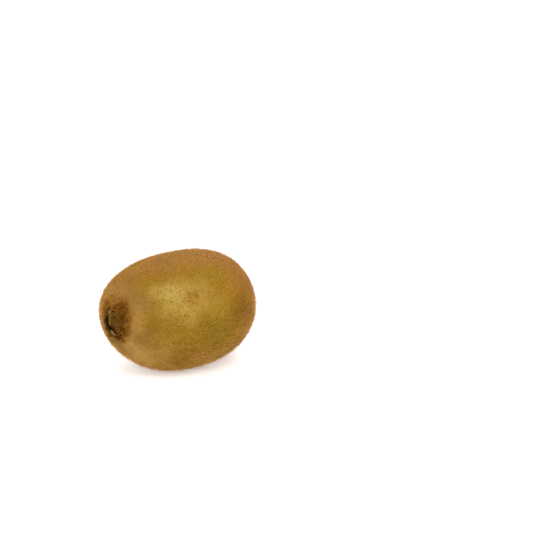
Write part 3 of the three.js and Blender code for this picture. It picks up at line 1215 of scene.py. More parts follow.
@dataclass
class Fuzz:
    """A patch of hair that grows in small tufts."""

    name: str
    skin: Skin
    finish: FuzzFinish
    density: Callable[[np.ndarray], np.ndarray]
    tufts: int
    hairs: int
    seed: int
    shape: HairShape = HairShape.STRAIGHT
    comb: Comb = Comb.TO_BLOSSOM
    length: tuple[float, float] = (0.8, 1.5)
    lean: tuple[float, float] = (48.0, 76.0)
    thickness: float = 0.065
    apart: float = 0.8
    spread: float = 0.13
    clump: float = 0.6
    lift: tuple[float, float] = (-0.7, 0.75)
    lift_places: Span = (-26.0, -8.0)
    swirl: float = 0.5
    wide_swells: SoftNoise = SoftNoise(66, 7.0, 1.6)
    curl: float = 0.8
    small_swells: SoftNoise = SoftNoise(64, 2.0)
    tuft_turn: float = 0.25
    hair_turn: float = 0.3
    hair_lean: float = 0.2
    hair_length: tuple[float, float] = (0.65, 1.1)
    hair_girth: tuple[float, float] = (0.75, 1.15)
    narrowing: float = 0.35
    crook: float = 0.16
    crook_stray: float = 0.1
    lower_growth: float = 0.3
    shortest: float = 0.2
    root_depth: float = 0.12
    lowest: float = 0.03
    tint: tuple[float, float] = (0.1, 0.9)
    tint_limits: tuple[float, float] = (0.02, 0.84)
    tan_stray: float = 0.08
    tan_limits: tuple[float, float] = (0.02, 0.96)
    tuft_shade: float = 0.16
    hair_shade: float = 0.1
    calm: float = 0.45
    uneven: float = 0.08
    belly_uneven: float = 0.1
    uneven_swells: SoftNoise = SoftNoise(65, 1.3)
    local_tint: float = 0.3
    tip_tint: float = 0.12
    map_patch: float = 0.02

    def _tuft_places(self, draws: np.random.Generator) -> tuple[np.ndarray, np.ndarray]:
        """Scatters the tufts over the skin.

        Args:
            draws: Where the draws come from.

        Returns:
            Each tuft's place, and the skin's direction there.
        """
        solid = self.skin.solid
        corners = solid.points[solid.triangles]
        sides = np.cross(corners[:, 1] - corners[:, 0], corners[:, 2] - corners[:, 0])
        weight = np.linalg.norm(sides, axis=-1) * self.density(corners.mean(axis=1))
        faces = draws.choice(len(weight), self.tufts, p=weight / weight.sum())
        shares = np.sqrt(draws.random((self.tufts, 1))), draws.random((self.tufts, 1))
        parts = np.hstack([1 - shares[0], shares[0] * (1 - shares[1]), shares[0] * shares[1]])
        places = np.einsum("nc,ncx->nx", parts, corners[faces])
        outward = unit(self.skin.directions[solid.triangles[faces]].mean(axis=1))
        kept = self._thinned(places)
        return places[kept], outward[kept]

    def _thinned(self, places: np.ndarray) -> np.ndarray:
        """Thins the tufts, so that no two of them stand closer than they should.

        Args:
            places: Where the tufts stand.

        Returns:
            Whether each of them stays.
        """
        tree = KDTree(len(places))
        for number, place in enumerate(places):
            tree.insert(place, number)
        tree.balance()
        kept = np.ones(len(places), bool)
        for number, place in enumerate(places):
            if kept[number]:
                near = [other for _, other, _ in tree.find_range(place, self.apart)]
                kept[near] = False
                kept[number] = True
        return kept

    def _flow(self, places: np.ndarray, outward: np.ndarray) -> np.ndarray:
        """Finds which way the patch is combed.

        Args:
            places: Where the tufts stand.
            outward: The skin's direction at each.

        Returns:
            The direction along the skin at each.
        """
        middle = places * [1, 0, 0] + self.skin.shift * [0, 1, 1]
        girth = np.cross([1.0, 0.0, 0.0], unit(places - middle))
        along = unit(np.cross(outward, girth)) * self.comb.value
        first, last = self.lift
        lift = first + (last - first) * ramp(places[:, 0], *self.lift_places)
        swirl = self.swirl * self.wide_swells.at(places)
        turn = (lift + swirl + self.curl * self.small_swells.at(places))[:, None]
        return along * np.cos(turn) + np.cross(outward, along) * np.sin(turn)

    def _spines(self, draws: np.random.Generator) -> tuple[np.ndarray, np.ndarray]:
        """Draws every hair's line and colour.

        Args:
            draws: Where the draws come from.

        Returns:
            The points along each hair, and its tint and how tan it is, both from 0 to 1.
        """
        places, outward = self._tuft_places(draws)
        flow = self._flow(places, outward)
        turn = draws.normal(0, self.tuft_turn, len(places))[:, None]
        flow = flow * np.cos(turn) + np.cross(outward, flow) * np.sin(turn)
        lean = np.radians(draws.uniform(*self.lean, len(places)))[:, None]
        tall = draws.uniform(*self.length, len(places))[:, None]
        lower = self.skin.belly(places) * (1 - self.skin.cheek(places))
        tall *= 1 + self.lower_growth * lower[:, None]
        summit = places + tall * (outward * np.cos(lean) + flow * np.sin(lean))
        tufts = np.repeat(np.arange(len(places)), self.hairs)
        count = len(tufts)
        beside = np.cross(outward, flow)
        stray = draws.normal(0, self.spread, (count, 2))
        roots = places[tufts] + flow[tufts] * stray[:, :1] + beside[tufts] * stray[:, 1:]
        roots -= outward[tufts] * self.root_depth
        own_turn = draws.normal(0, self.hair_turn, count)[:, None]
        own_flow = flow[tufts] * np.cos(own_turn) + beside[tufts] * np.sin(own_turn)
        own_lean = lean[tufts] + draws.normal(0, self.hair_lean, count)[:, None]
        own_tall = tall[tufts] * draws.uniform(*self.hair_length, count)[:, None]
        rise = outward[tufts] * np.cos(own_lean) + own_flow * np.sin(own_lean)
        tips = roots + own_tall * rise
        tips += self.clump * (summit[tufts] - tips)
        line = [roots, tips]
        if self.shape is HairShape.BENT:
            aside = draws.normal(0, self.crook_stray, count)[:, None]
            crook = outward[tufts] * self.crook + beside[tufts] * aside
            line.insert(1, (roots + tips) / 2 + own_tall * crook)
        spines = np.stack(line, axis=1)
        spines[..., 2] = np.maximum(spines[..., 2], self.lowest)
        spots = self._spots(places, tufts, draws)
        free = roots[:, 2] > self.lowest
        free &= np.linalg.norm(tips - roots, axis=-1) > self.shortest
        return spines[free], spots[free]

    def _spots(
        self, places: np.ndarray, tufts: np.ndarray, draws: np.random.Generator
    ) -> np.ndarray:
        """Draws every hair's colour.

        Args:
            places: Where the tufts stand.
            tufts: Which tuft each hair is in.
            draws: Where the draws come from.

        Returns:
            Each hair's tint and how tan it is, both from 0 to 1.
        """
        low, high = self.tint
        calm = 1 - self.calm * self.skin.cheek(places)
        shade = draws.normal(0, self.tuft_shade, len(places)) * calm
        shade = shade[tufts] + draws.normal(0, self.hair_shade, len(tufts)) * calm[tufts]
        uneven = (self.uneven + self.belly_uneven * self.skin.belly(places)) * calm
        uneven = uneven * self.uneven_swells.at(places)
        local = self.local_tint * self.skin.lightness(places) + uneven
        tint = (low + high) / 2 + shade * (high - low) + local[tufts]
        tan = self.skin.tan(places)[tufts] + draws.normal(0, self.tan_stray, len(tufts))
        pair = [np.clip(tint, *self.tint_limits), np.clip(tan, *self.tan_limits)]
        return np.stack(pair, axis=-1)

    def _solid(self, spines: np.ndarray, draws: np.random.Generator) -> Solid:
        """Gives every hair its three sides.

        Args:
            spines: The points along each hair.
            draws: Where the draws come from.

        Returns:
            All hairs in one body, each of them closed.
        """
        count, stations = spines.shape[:2]
        axis = unit(spines[:, -1] - spines[:, 0])
        across = unit(np.cross(axis, unit(draws.normal(size=(count, 3)))))
        other = np.cross(axis, across)
        radius = self.thickness / 2 * draws.uniform(*self.hair_girth, count)[:, None]
        rings = []
        for station in range(stations - 1):
            size = radius * (1 - self.narrowing * station)
            for angle in turns(3):
                edge = across * math.cos(angle) + other * math.sin(angle)
                rings.append(spines[:, station] + edge * size)
        points = np.stack([*rings, spines[:, -1]], axis=1)
        faces = [[0, 2, 1]]
        for station in range(stations - 2):
            for side in range(3):
                near, far = 3 * station + side, 3 * station + (side + 1) % 3
                faces += [[near, far, far + 3], [near, far + 3, near + 3]]
        top = 3 * (stations - 2)
        faces += [[top + side, top + (side + 1) % 3, top + 3] for side in range(3)]
        starts = np.arange(count)[:, None, None] * points.shape[1]
        return Solid(points.reshape(-1, 3), (starts + np.array(faces)).reshape(-1, 3))

    def _corner_map(self, spots: np.ndarray) -> np.ndarray:
        """Maps each hair onto a small patch round its colour, paler to the tip.

        Args:
            spots: Each hair's tint and how tan it is.

        Returns:
            The two coordinates of each hair's points.
        """
        last, patch = self.shape.value - 1, self.map_patch
        level = np.append(np.repeat(np.arange(last), 3), last) / last
        across = np.append(np.tile([0.0, patch / 2, patch], last), patch / 2)
        across = across + self.tip_tint * level
        aside = np.append(np.tile([0.0, patch, 0.0], last), patch / 2)
        return (spots[:, None] + np.stack([across, aside], axis=-1)).reshape(-1, 2)

    def build(self, material: bpy.types.Material) -> bpy.types.Object:
        """Makes the patch.

        Args:
            material: What the hair is finished in.

        Returns:
            The patch.
        """
        draws = np.random.default_rng(self.seed)
        spines, spots = self._spines(draws)
        solid = self._solid(spines, draws)
        corner_map = self._corner_map(spots)[solid.triangles]
        piece = make_piece(self.name, solid, material, corner_map)
        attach(piece, ROOT)
        return piece


@dataclass(frozen=True)
class Sepal:
    """One dried sepal, by its place round the calyx in degrees from the top and its sizes."""

    place: float
    width: float
    reach: float
    rise: float
    thickness: float = 0.62
    cup: float = 0.18
    tip: float = 0.32
    neck: float = 0.75
    end: float = 0.03
    ragged: float = 0.1
    notches: int = 9
    rings: int = 26
    columns: int = 24

    def solid(self, rim_radius: float, root_height: float, rim_top: float) -> Solid:
        """Makes the sepal.

        Args:
            rim_radius: The radius of the calyx's rim, along its middle.
            root_height: The height at which the sepal starts.
            rim_top: The height of the rim's top.

        Returns:
            The cupped blade.
        """
        turn = math.radians(self.place)
        outward = np.array([math.cos(turn), math.sin(turn), 0.0])
        across = np.array([-math.sin(turn), math.cos(turn), 0.0])
        top = rim_top + self.rise
        ends = [(rim_radius, root_height), (rim_radius, top), (rim_radius + self.reach, top)]
        knots = [outward * radius + [0.0, 0.0, height] for radius, height in ends]
        share = np.linspace(0, 1, self.rings)[:, None]
        along = self.end + share * (1 - 2 * self.end)
        line = (1 - along) ** 2 * knots[0] + 2 * along * (1 - along) * knots[1]
        line = line + along**2 * knots[2]
        slope = (1 - along) * (knots[1] - knots[0]) + along * (knots[2] - knots[1])
        normal = np.cross(unit(slope), across)
        belly = self.neck + (1 - self.neck) * np.sin(math.pi * share)
        half = self.width / 2 * belly * np.sqrt(1 - (1 - self.tip**2) * share * share)
        around = turns(self.columns)[None]
        flare = half * np.cos(around)
        ragged = 1 + self.ragged * np.sin(self.notches * share + self.place) * np.cos(around)
        thick = self.thickness / 2 * np.sin(around) + self.cup * half * np.cos(around) ** 2
        blade = line[:, None] + across * (flare * ragged)[..., None]
        return ringed(knots[0], blade + normal[:, None] * thick[..., None], knots[2])


@dataclass(frozen=True)
class Calyx:
    """The dried calyx: a thin dish with an uneven rim, and the sepals that grow from it."""

    outer: float
    bottom: float
    scar_radius: float
    thickness: float = 0.7
    height: float = 2.25
    columns: int = 240
    edge: float = 0.15
    rim_wave: float = 0.28
    ragged: float = 0.1
    under_rings: int = 9
    ledge: float = 0.9
    ledge_start: float = 0.93
    ledge_end: float = 4.7
    ledge_lean: float = 0.4
    ledge_side: Span = (-0.1, 0.6)
    ledge_top: Span = (0.75, 0.95)
    coarse_grain: SoftNoise = SoftNoise(21, 0.7, 0.05)
    fine_grain: SoftNoise = SoftNoise(22, 0.35, 0.04)
    sepals: tuple[Sepal, ...] = (
        Sepal(18, 3.8, -1.8, 1.1),
        Sepal(96, 3.0, 0.8, 0.5),
        Sepal(176, 3.8, -2.6, 1.3),
        Sepal(246, 3.4, 1.6, 0.7),
        Sepal(314, 2.8, -0.7, 0.75),
    )
    # Painted shade on the dish's floor, and a painted shadow in the gap on its +Y side.
    painted_shade_and_marks: float = 0.4
    shade_heights: Span = (-0.1, 0.9)
    shadow_side: tuple[float, float] = (-2.6, 5.0)
    shadow_reach: Span = (4.8, 3.5)
    shadow_tip_loss: float = 0.3
    shadow_tip_heights: Span = (1.3, 1.7)
    worn_and_lit: float = 0.7
    worn_heights: Span = (1.2, 1.9)
    worn_and_lit_side: Span = (-2.8, -1.6)
    worn_top_loss: float = 0.5
    worn_top: Span = (0.0, 3.0)
    finish: DryFinish = DryFinish("dried_calyx", "563608", "805a1c", "1c0e02", "8e6c3c")

    @property
    def inner(self) -> float:
        """Returns the radius of the dish's inside."""
        return self.outer - self.thickness

    @property
    def floor(self) -> float:
        """Returns the height of the dish's floor."""
        return self.bottom + self.thickness

    def _wave(self, radius: np.ndarray, height: np.ndarray, turn: np.ndarray) -> np.ndarray:
        """Finds the rim's rise and fall, with small teeth, and the ledge at the wall's foot.

        Args:
            radius: How far out each point lies.
            height: How high it lies on the plain dish.
            turn: Its angle round the dish.

        Returns:
            How far each point rises.
        """
        swell = self.rim_wave * (np.sin(5 * turn + 1) + 0.6 * np.sin(11 * turn))
        teeth = self.ragged * (np.sin(23 * turn + 2) + 0.7 * np.sin(41 * turn))
        near_side = ramp(-np.sin(turn) - self.ledge_lean * np.cos(turn), *self.ledge_side)
        near_side = np.maximum(near_side, ramp(np.cos(turn), *self.ledge_top))
        start = self.scar_radius * self.ledge_start
        ledge = self.ledge * ramp(radius, start, self.ledge_end) * near_side
        inside = (height > self.floor - self.edge) & (radius < self.inner)
        low = np.where(inside, ledge, 0.0)
        return np.where(height > self.floor + 2 * self.edge, swell + teeth, low)

    def solid(self) -> Solid:
        """Makes the calyx.

        Returns:
            The calyx about +Z.
        """
        outer, inner, bottom, edge = self.outer, self.inner, self.bottom, self.edge
        rim_top = bottom + self.height
        walk = np.linspace(0, 1, self.under_rings)
        under = [(outer * share, bottom) for share in walk[:-1]]
        side = [(outer - edge, bottom), (outer, bottom + edge), (outer, rim_top - 2 * edge)]
        mouth = [(outer - edge, rim_top), ((outer + inner) / 2, rim_top), (inner + edge, rim_top)]
        wall = [(inner, rim_top - 2 * edge), (inner - edge, self.floor + edge)]
        inside = [(inner * share, self.floor) for share in walk[-2::-1]]
        outline = np.array([*under, *side, *mouth, *wall, *inside])
        dish = turned(outline, self.columns, self._wave)
        middle = outer - self.thickness / 2
        root = bottom + self.thickness / 2
        whole = joined([dish, *[sepal.solid(middle, root, rim_top) for sepal in self.sepals]])
        grain = self.coarse_grain.at(whole.points) + self.fine_grain.at(whole.points)
        return whole.swelled(grain)

    def masks(self, points: np.ndarray) -> dict[str, np.ndarray]:
        """Works out the masks that the finish reads.

        Args:
            points: The calyx's points about +Z.

        Returns:
            A share from 0 to 1 at each point, by the mask's name.
        """

        def above_floor(heights: Span) -> np.ndarray:
            """Returns a ramp over heights above the dish's floor."""
            return ramp(points[:, 2], self.floor + heights[0], self.floor + heights[1])

        # Painted shadow: the dark crescent on the +Y side, where the gap by the scar lies in shade.
        dark = ramp(np.linalg.norm(points[:, :2] - self.shadow_side, axis=-1), *self.shadow_reach)
        dark *= 1 - self.shadow_tip_loss * above_floor(self.shadow_tip_heights)
        # Paler upper sepals, most on the +Y side and less toward the top.
        worn_and_lit = above_floor(self.worn_heights) * ramp(points[:, 1], *self.worn_and_lit_side)
        worn_and_lit *= 1 - self.worn_top_loss * ramp(points[:, 0], *self.worn_top)
        # Painted shade on the dish's floor, fading up its wall.
        painted_shade_and_marks = self.painted_shade_and_marks * (1 - above_floor(self.shade_heights))
        return {"painted_shade_and_marks": np.maximum(painted_shade_and_marks, dark), "worn_and_lit": self.worn_and_lit * worn_and_lit * (1 - dark)}


@dataclass(frozen=True)
class Scar:
    """The stalk's scar: a corky button with small pits where the stalk's vessels ran."""

    bottom: float
    radius: float = 4.4
    thickness: float = 0.95
    crown: float = 0.35
    crown_reach: float = 0.96
    rings: int = 44
    columns: int = 132
    stretch: float = 1.1
    rise: float = -0.2
    shift: float = -0.25
    vessels: int = 7
    vessel_circle: float = 2.3
    vessel_places: tuple[float, float] = (0.45, 1.2)
    vessel_spread: float = 0.3
    vessel_radius: float = 0.55
    vessel_depth: float = 0.42
    vessel_share: tuple[float, float] = (0.5, 1.0)
    vessel_seed: int = 5
    ring_height: float = 0.06
    ring_pace: float = 4.6
    ring_bend: float = 0.7
    coarse_grain: SoftNoise = SoftNoise(31, 0.8, 0.06)
    fine_grain: SoftNoise = SoftNoise(32, 0.4, 0.04)
    crumb_swells: SoftNoise = SoftNoise(33, 0.9)
    crumb_fade: Span = (0.25, 0.6)
    crumb_depth: float = 0.05
    notch: tuple[float, float] = (-2.9, 2.4)
    notch_reach: Span = (1.8, 0.9)
    notch_depth: float = 0.3
    rounding: float = 0.9
    # Painted shade in the vessels' pits, in the notch and round the edge; the crumbs and growth
    # rings are the cork's own.
    shade_in_vessels: float = 0.7
    shade_in_notch: float = 0.9
    dark_crumbs: float = 0.35
    shade_at_edge: float = 0.4
    dark_growth: float = 0.3
    darkest: float = 0.9
    # Painted highlight on the outer band of the scar's +Y side.
    worn_and_lit: float = 0.75
    lit_reach: Span = (0.55, 0.85)
    lit_lean: float = 0.4
    worn_and_lit_side: Span = (-1.5, 2.5)
    finish: DryFinish = DryFinish(
        "stalk_cork", "4c2c04", "6e4a12", "2c1802", "8c6a2c", 0.9, 0.1
    )

    @property
    def top(self) -> float:
        """Returns the height of the button's edge."""
        return self.bottom + self.thickness

    def _vessels(self, radius: np.ndarray, turn: np.ndarray) -> np.ndarray:
        """Finds how deep the vessels' pits are.

        Args:
            radius: How far out each point lies.
            turn: Its angle round the button.

        Returns:
            The depth at each, as a share of a whole pit's.
        """
        x, y = radius * np.cos(turn), radius * np.sin(turn)
        draws = SeededDraws(self.vessel_seed)
        depths = []
        for middle in turns(self.vessels):
            out = self.vessel_circle * draws.between(*self.vessel_places)
            place = middle + draws.between(-self.vessel_spread, self.vessel_spread)
            away = np.hypot(x - out * math.cos(place), y - out * math.sin(place))
            share = draws.between(*self.vessel_share)
            depths.append(share * np.exp(-((away / self.vessel_radius) ** 2)))
        return np.sum(depths, axis=0)

    def _growth(self, radius: np.ndarray, turn: np.ndarray) -> np.ndarray:
        """Returns the growth rings' swell, from -1 to 1."""
        return np.cos(self.ring_pace * radius + self.ring_bend * np.sin(2 * turn + 1))

    def _relief(self, radius: np.ndarray, height: np.ndarray, turn: np.ndarray) -> np.ndarray:
        """Finds the crown's height, less the pits.

        Args:
            radius: How far out each point lies.
            height: How high it lies on the plain button.
            turn: Its angle round the button.

        Returns:
            How far each point rises.
        """
        dome = self.crown * (1 - (radius / self.radius) ** 4)
        face = dome - self.vessel_depth * self._vessels(radius, turn)
        face = face + self.ring_height * self._growth(radius, turn)
        return np.where(height < self.top, 0.0, face)

    def model(self) -> tuple[Solid, dict[str, np.ndarray]]:
        """Makes the scar.

        Returns:
            The scar about +Z, and the masks that its finish reads.
        """
        wide, bottom = self.radius, self.bottom
        under = [(0.0, bottom), (wide / 2, bottom), (wide * self.rounding, bottom)]
        side = [(wide, bottom + self.thickness / 3)]
        crown = np.sin(np.linspace(math.pi / 2, 0, self.rings)) * wide * self.crown_reach
        outline = np.array([*under, *side, *[(radius, self.top) for radius in crown]])
        solid = turned(outline, self.columns, self._relief)
        grain = self.coarse_grain.at(solid.points) + self.fine_grain.at(solid.points)
        x, y = solid.points[:, 0], solid.points[:, 1]
        radius, turn = np.hypot(x, y), np.arctan2(y, x)
        crumbs = ramp(self.crumb_swells.at(solid.points), *self.crumb_fade)
        notch = ramp(np.hypot(x - self.notch[0], y - self.notch[1]), *self.notch_reach)
        edge = ramp(radius, wide * self.rounding, wide)
        # Painted shade in the pits, the notch and round the edge, plus the cork's own darker crumbs
        # and growth rings.
        painted_shade_and_marks = self.shade_in_vessels * self._vessels(radius, turn) + self.shade_in_notch * notch
        painted_shade_and_marks = painted_shade_and_marks + self.dark_crumbs * crumbs + self.shade_at_edge * edge
        painted_shade_and_marks = np.clip(painted_shade_and_marks - self.dark_growth * self._growth(radius, turn), 0, self.darkest)
        # Painted highlight: the outer band is paler on the +Y side, the side that the light
        # reaches.
        low, high = self.lit_reach
        lit = ramp(radius, wide * low, wide * high)
        lit = lit * ramp(y + self.lit_lean * x, *self.worn_and_lit_side)
        worn_and_lit = self.worn_and_lit * lit * (1 - notch)
        body = solid.swelled(grain - self.crumb_depth * crumbs - self.notch_depth * notch)
        placed = body.points * [self.stretch, 1, 1] + [self.rise, self.shift, 0]
        return Solid(placed, body.triangles), {"painted_shade_and_marks": painted_shade_and_marks, "worn_and_lit": worn_and_lit}


@dataclass
class StalkEnd:
    """The dried calyx in the pit, and the corky scar of the stalk inside it."""

    skin: Skin
    gap: float = 0.3

    def _turn(self) -> np.ndarray:
        """Returns the turn that stands a piece built about +Z out of the stalk end."""
        angle = -math.pi / 2 - math.atan(self.skin.form.lean_slope)
        return np.array(Matrix.Rotation(angle, 3, "Y"))

    def build(self) -> list[bpy.types.Object]:
        """Makes the calyx and the scar.

        Returns:
            Both pieces.
        """
        pit, turn, place = self.skin.pit, self._turn(), self.skin.pit_centre
        bottom = self.gap - pit.depth
        scar = Scar(bottom + self.gap + Calyx.thickness)
        calyx = Calyx(pit.radius - self.gap, bottom, scar.radius)
        dish = calyx.solid()
        button, button_masks = scar.model()
        parts = [
            ("calyx_dry", dish, calyx.masks(dish.points), calyx.finish, "calyx", "dried_sepal"),
            ("scar_cork", button, button_masks, scar.finish, "stalk_scar", "cork"),
        ]
        made = []
        for name, solid, masks, finish, node, slot in parts:
            piece = make_piece(name, solid.moved(turn, place), finish.material(), masks=masks)
            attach(piece, ROOT)
            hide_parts(node)
            made.append(piece)
        return made


@dataclass
class BlossomEnd:
    """The dried styles that stand out of the dimple on a small button."""

    skin: Skin
    gap: float = 0.3
    button_radius: float = 1.75
    button_thickness: float = 0.8
    button_columns: int = 72
    styles: int = 18
    style_length: float = 2.2
    style_share: tuple[float, float] = (0.65, 1.0)
    style_radius: float = 0.24
    style_sides: int = 10
    style_rings: int = 14
    style_ends: tuple[float, float] = (0.04, 0.97)
    style_taper: float = 0.62
    taper_power: float = 1.5
    knobs: float = 0.12
    knob_pace: int = 19
    root_circle: float = 0.6
    root_height: float = 0.45
    upright: float = 0.15
    splay: float = 1.15
    splay_share: tuple[float, float] = (0.8, 1.1)
    seed: int = 11
    crook: float = 0.28
    bend_pace: float = 2.4
    twist: float = 0.5
    twist_pace: float = 1.7
    grain: SoftNoise = SoftNoise(41, 0.4, 0.03)
    # Painted shade at the strands' roots in the dimple.
    dark: float = 0.9
    worn_and_lit: float = 0.5
    worn_from: float = 0.55
    finish: DryFinish = DryFinish(
        "dried_styles", "3d2814", "6e5230", "1a0d05", "7c6440", 0.4, 0.06
    )

    def _strand(self, root: np.ndarray, tip: np.ndarray, number: int) -> Solid:
        """Makes one tapered strand.

        Args:
            root: Where it starts.
            tip: Where it ends.
            number: Which strand it is, for its own bend.

        Returns:
            The strand.
        """
        axis = unit(tip - root)
        across = unit(np.cross([0.0, 0.0, 1.0], axis))
        upright = np.cross(axis, across)
        share = np.linspace(*self.style_ends, self.style_rings)[:, None]
        bend = self.crook * np.sin(math.pi * share) * math.sin(self.bend_pace * number)
        twist = self.twist * self.crook * np.sin(2 * math.pi * share)
        twist = twist * math.cos(self.twist_pace * number)
        line = root + (tip - root) * share + across * bend + upright * twist
        size = self.style_radius * (1 - self.style_taper * share**self.taper_power)
        size = size * (1 + self.knobs * np.sin(self.knob_pace * share + number))
        around = turns(self.style_sides)[None, :, None]
        edge = across * np.cos(around) + upright * np.sin(around)
        return ringed(root, line[:, None] + edge * size[..., None], tip)

    def _button(self, bottom: float) -> Solid:
        """Makes the button that the strands stand on.

        Args:
            bottom: The height of its underside.

        Returns:
            The button about +Z.
        """
        wide, tall = self.button_radius, self.button_thickness
        stations = [(0.0, 0.0), (0.4, 0.0), (0.85, 0.0), (0.97, 0.2), (1.0, 0.4), (0.9, 0.65)]
        stations += [(0.7, 0.85), (0.45, 0.96), (0.2, 1.0), (0.0, 1.0)]
        outline = np.array([(wide * out, bottom + tall * up) for out, up in stations])
        return turned(outline, self.button_columns, lambda radius, height, turn: 0 * radius * turn)

    def solid(self) -> Solid:
        """Makes the button and its strands.

        Returns:
            One body about +Z.
        """
        bottom = self.gap - self.skin.dimple.depth
        level = bottom + self.button_thickness * self.root_height
        pieces = [self._button(bottom)]
        draws = SeededDraws(self.seed)
        golden_angle = math.pi * (3 - math.sqrt(5))
        for number in range(self.styles):
            share = math.sqrt((number + 0.5) / self.styles)
            turn = number * golden_angle
            heading = np.array([math.cos(turn), math.sin(turn), 0.0])
            root = heading * share * self.button_radius * self.root_circle + [0.0, 0.0, level]
            spread = self.upright + (self.splay - self.upright) * share
            spread *= draws.between(*self.splay_share)
            length = self.style_length * draws.between(*self.style_share)
            tip = root + length * (heading * math.sin(spread) + [0.0, 0.0, math.cos(spread)])
            pieces.append(self._strand(root, tip, number))
        whole = joined(pieces)
        return whole.swelled(self.grain.at(whole.points))

    def build(self) -> bpy.types.Object:
        """Makes the dried styles.

        Returns:
            The piece.
        """
        turn = np.array(Matrix.Rotation(math.pi / 2, 3, "Y"))
        solid = self.solid()
        height = solid.points[:, 2]
        low, high = height.min(), height.max()
        middle = low + self.worn_from * (high - low)
        # Painted shade toward the roots in the dimple, and paler toward the tips.
        masks = {
            "painted_shade_and_marks": self.dark * ramp(height, middle, low),
            "worn_and_lit": self.worn_and_lit * ramp(height, middle, high),
        }
        placed = solid.moved(turn, self.skin.dimple_centre)
        piece = make_piece("styles_dry", placed, self.finish.material(), masks=masks)
        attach(piece, ROOT)
        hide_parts("style_remains")
        return piece


@dataclass(frozen=True)
class Lamp:
    """A soft square lamp that is aimed at the fruit."""

    name: str
    azimuth: float
    elevation: float
    away: float
    side: float
    power: float
    warmth: str = "ffffff"

    def place(self, aim: Vector) -> None:
        """Hangs the lamp.

        Args:
            aim: What it shines at, in metres.
        """
        light = bpy.data.lights.new(self.name, "AREA")
        light.shape = "SQUARE"
        light.size = self.side
        light.energy = self.power
        light.color = paint(self.warmth)[:3]
        lamp = bpy.data.objects.new(self.name, light)
        turn, rise = math.radians(self.azimuth), math.radians(self.elevation)
        flat = math.cos(rise)
        back = Vector((math.sin(turn) * flat, -math.cos(turn) * flat, math.sin(rise)))
        lamp.location = aim + back * self.away
        lamp.rotation_euler = back.to_track_quat("Z", "Y").to_euler()
        bpy.context.scene.collection.objects.link(lamp)


@dataclass
class Studio:
    """A pale floor, soft lamps all round, and the camera."""

    azimuth: float = -41.25
    elevation: float = 15.34
    camera_away: float = 0.810
    aim_right: float = 0.03935
    aim_up: float = 0.01673
    view_width: float = 0.2294
    sensor: float = 36.0
    floor_radius: float = 4.0
    floor_sides: int = 96
    floor_tone: str = "f8f7f5"
    floor_roughness: float = 0.9
    floor_light: str = "ffffff"
    floor_glow: float = 0.42
    sky: float = 0.72
    lamps: tuple[Lamp, ...] = (
        Lamp("key_lamp", -18.0, 44.0, 0.9, 0.5, 3.2),
        Lamp("side_lamp", -95.0, 30.0, 1.1, 0.6, 3.0),
        Lamp("back_lamp", 150.0, 48.0, 1.1, 0.7, 3.0),
    )

    def _floor(self) -> None:
        """Lays the floor just under the fruit."""
        mesh = bpy.data.meshes.new("floor")
        wide, angles = self.floor_radius, turns(self.floor_sides)
        ring = [(wide * math.cos(angle), wide * math.sin(angle), 0.0) for angle in angles]
        mesh.from_pydata(ring, [], [list(range(len(ring)))])
        material = Bench("pale_floor").finished(
            None,
            0.0,
            Base_Color=paint(self.floor_tone),
            Roughness=self.floor_roughness,
            Emission_Color=paint(self.floor_light),
            Emission_Strength=self.floor_glow,
        )
        mesh.materials.append(material)
        floor = bpy.data.objects.new("floor", mesh)
        bpy.context.scene.collection.objects.link(floor)

    def _sky(self) -> None:
        """Lights the room evenly."""
        world = bpy.data.worlds.new("soft_room")
        world.use_nodes = True
        tree = world.node_tree
        tree.nodes.clear()
        light = tree.nodes.new("ShaderNodeBackground")
        light.inputs["Strength"].default_value = self.sky
        seen = tree.nodes.new("ShaderNodeBackground")
        path = tree.nodes.new("ShaderNodeLightPath")
        either = tree.nodes.new("ShaderNodeMixShader")
        out = tree.nodes.new("ShaderNodeOutputWorld")
        for shade in (light, seen):
            shade.inputs["Color"].default_value = (1.0, 1.0, 1.0, 1.0)
        tree.links.new(path.outputs["Is Camera Ray"], either.inputs[0])
        tree.links.new(light.outputs[0], either.inputs[1])
        tree.links.new(seen.outputs[0], either.inputs[2])
        tree.links.new(either.outputs[0], out.inputs["Surface"])
        bpy.context.scene.world = world

    def _camera(self, aim: Vector) -> None:
        """Sets the camera.

        Args:
            aim: The middle of the fruit, in metres.
        """
        turn, rise = math.radians(-self.azimuth), math.radians(self.elevation)
        right = Vector((math.cos(turn), -math.sin(turn), 0.0))
        ahead = Vector(
            (math.sin(turn) * math.cos(rise), math.cos(turn) * math.cos(rise), -math.sin(rise))
        )
        up = right.cross(ahead)
        data = bpy.data.cameras.new("camera")
        data.sensor_width = self.sensor
        data.lens = self.sensor * self.camera_away / self.view_width
        camera = bpy.data.objects.new("camera", data)
        place = aim + right * self.aim_right + up * self.aim_up - ahead * self.camera_away
        turned_to = Matrix((right, up, -ahead)).transposed().to_4x4()
        camera.matrix_world = Matrix.Translation(place) @ turned_to
        bpy.context.scene.collection.objects.link(camera)
        bpy.context.scene.camera = camera

    def build(self) -> None:
        """Sets up the floor, the light and the camera."""
        low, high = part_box("fruit")
        aim = (low + high) / 2
        self._floor()
        self._sky()
        for lamp in self.lamps:
            lamp.place(aim)
        self._camera(aim)
        bpy.context.scene.view_settings.view_transform = "Standard"
        LOG.info("studio: %d lamps", len(self.lamps))


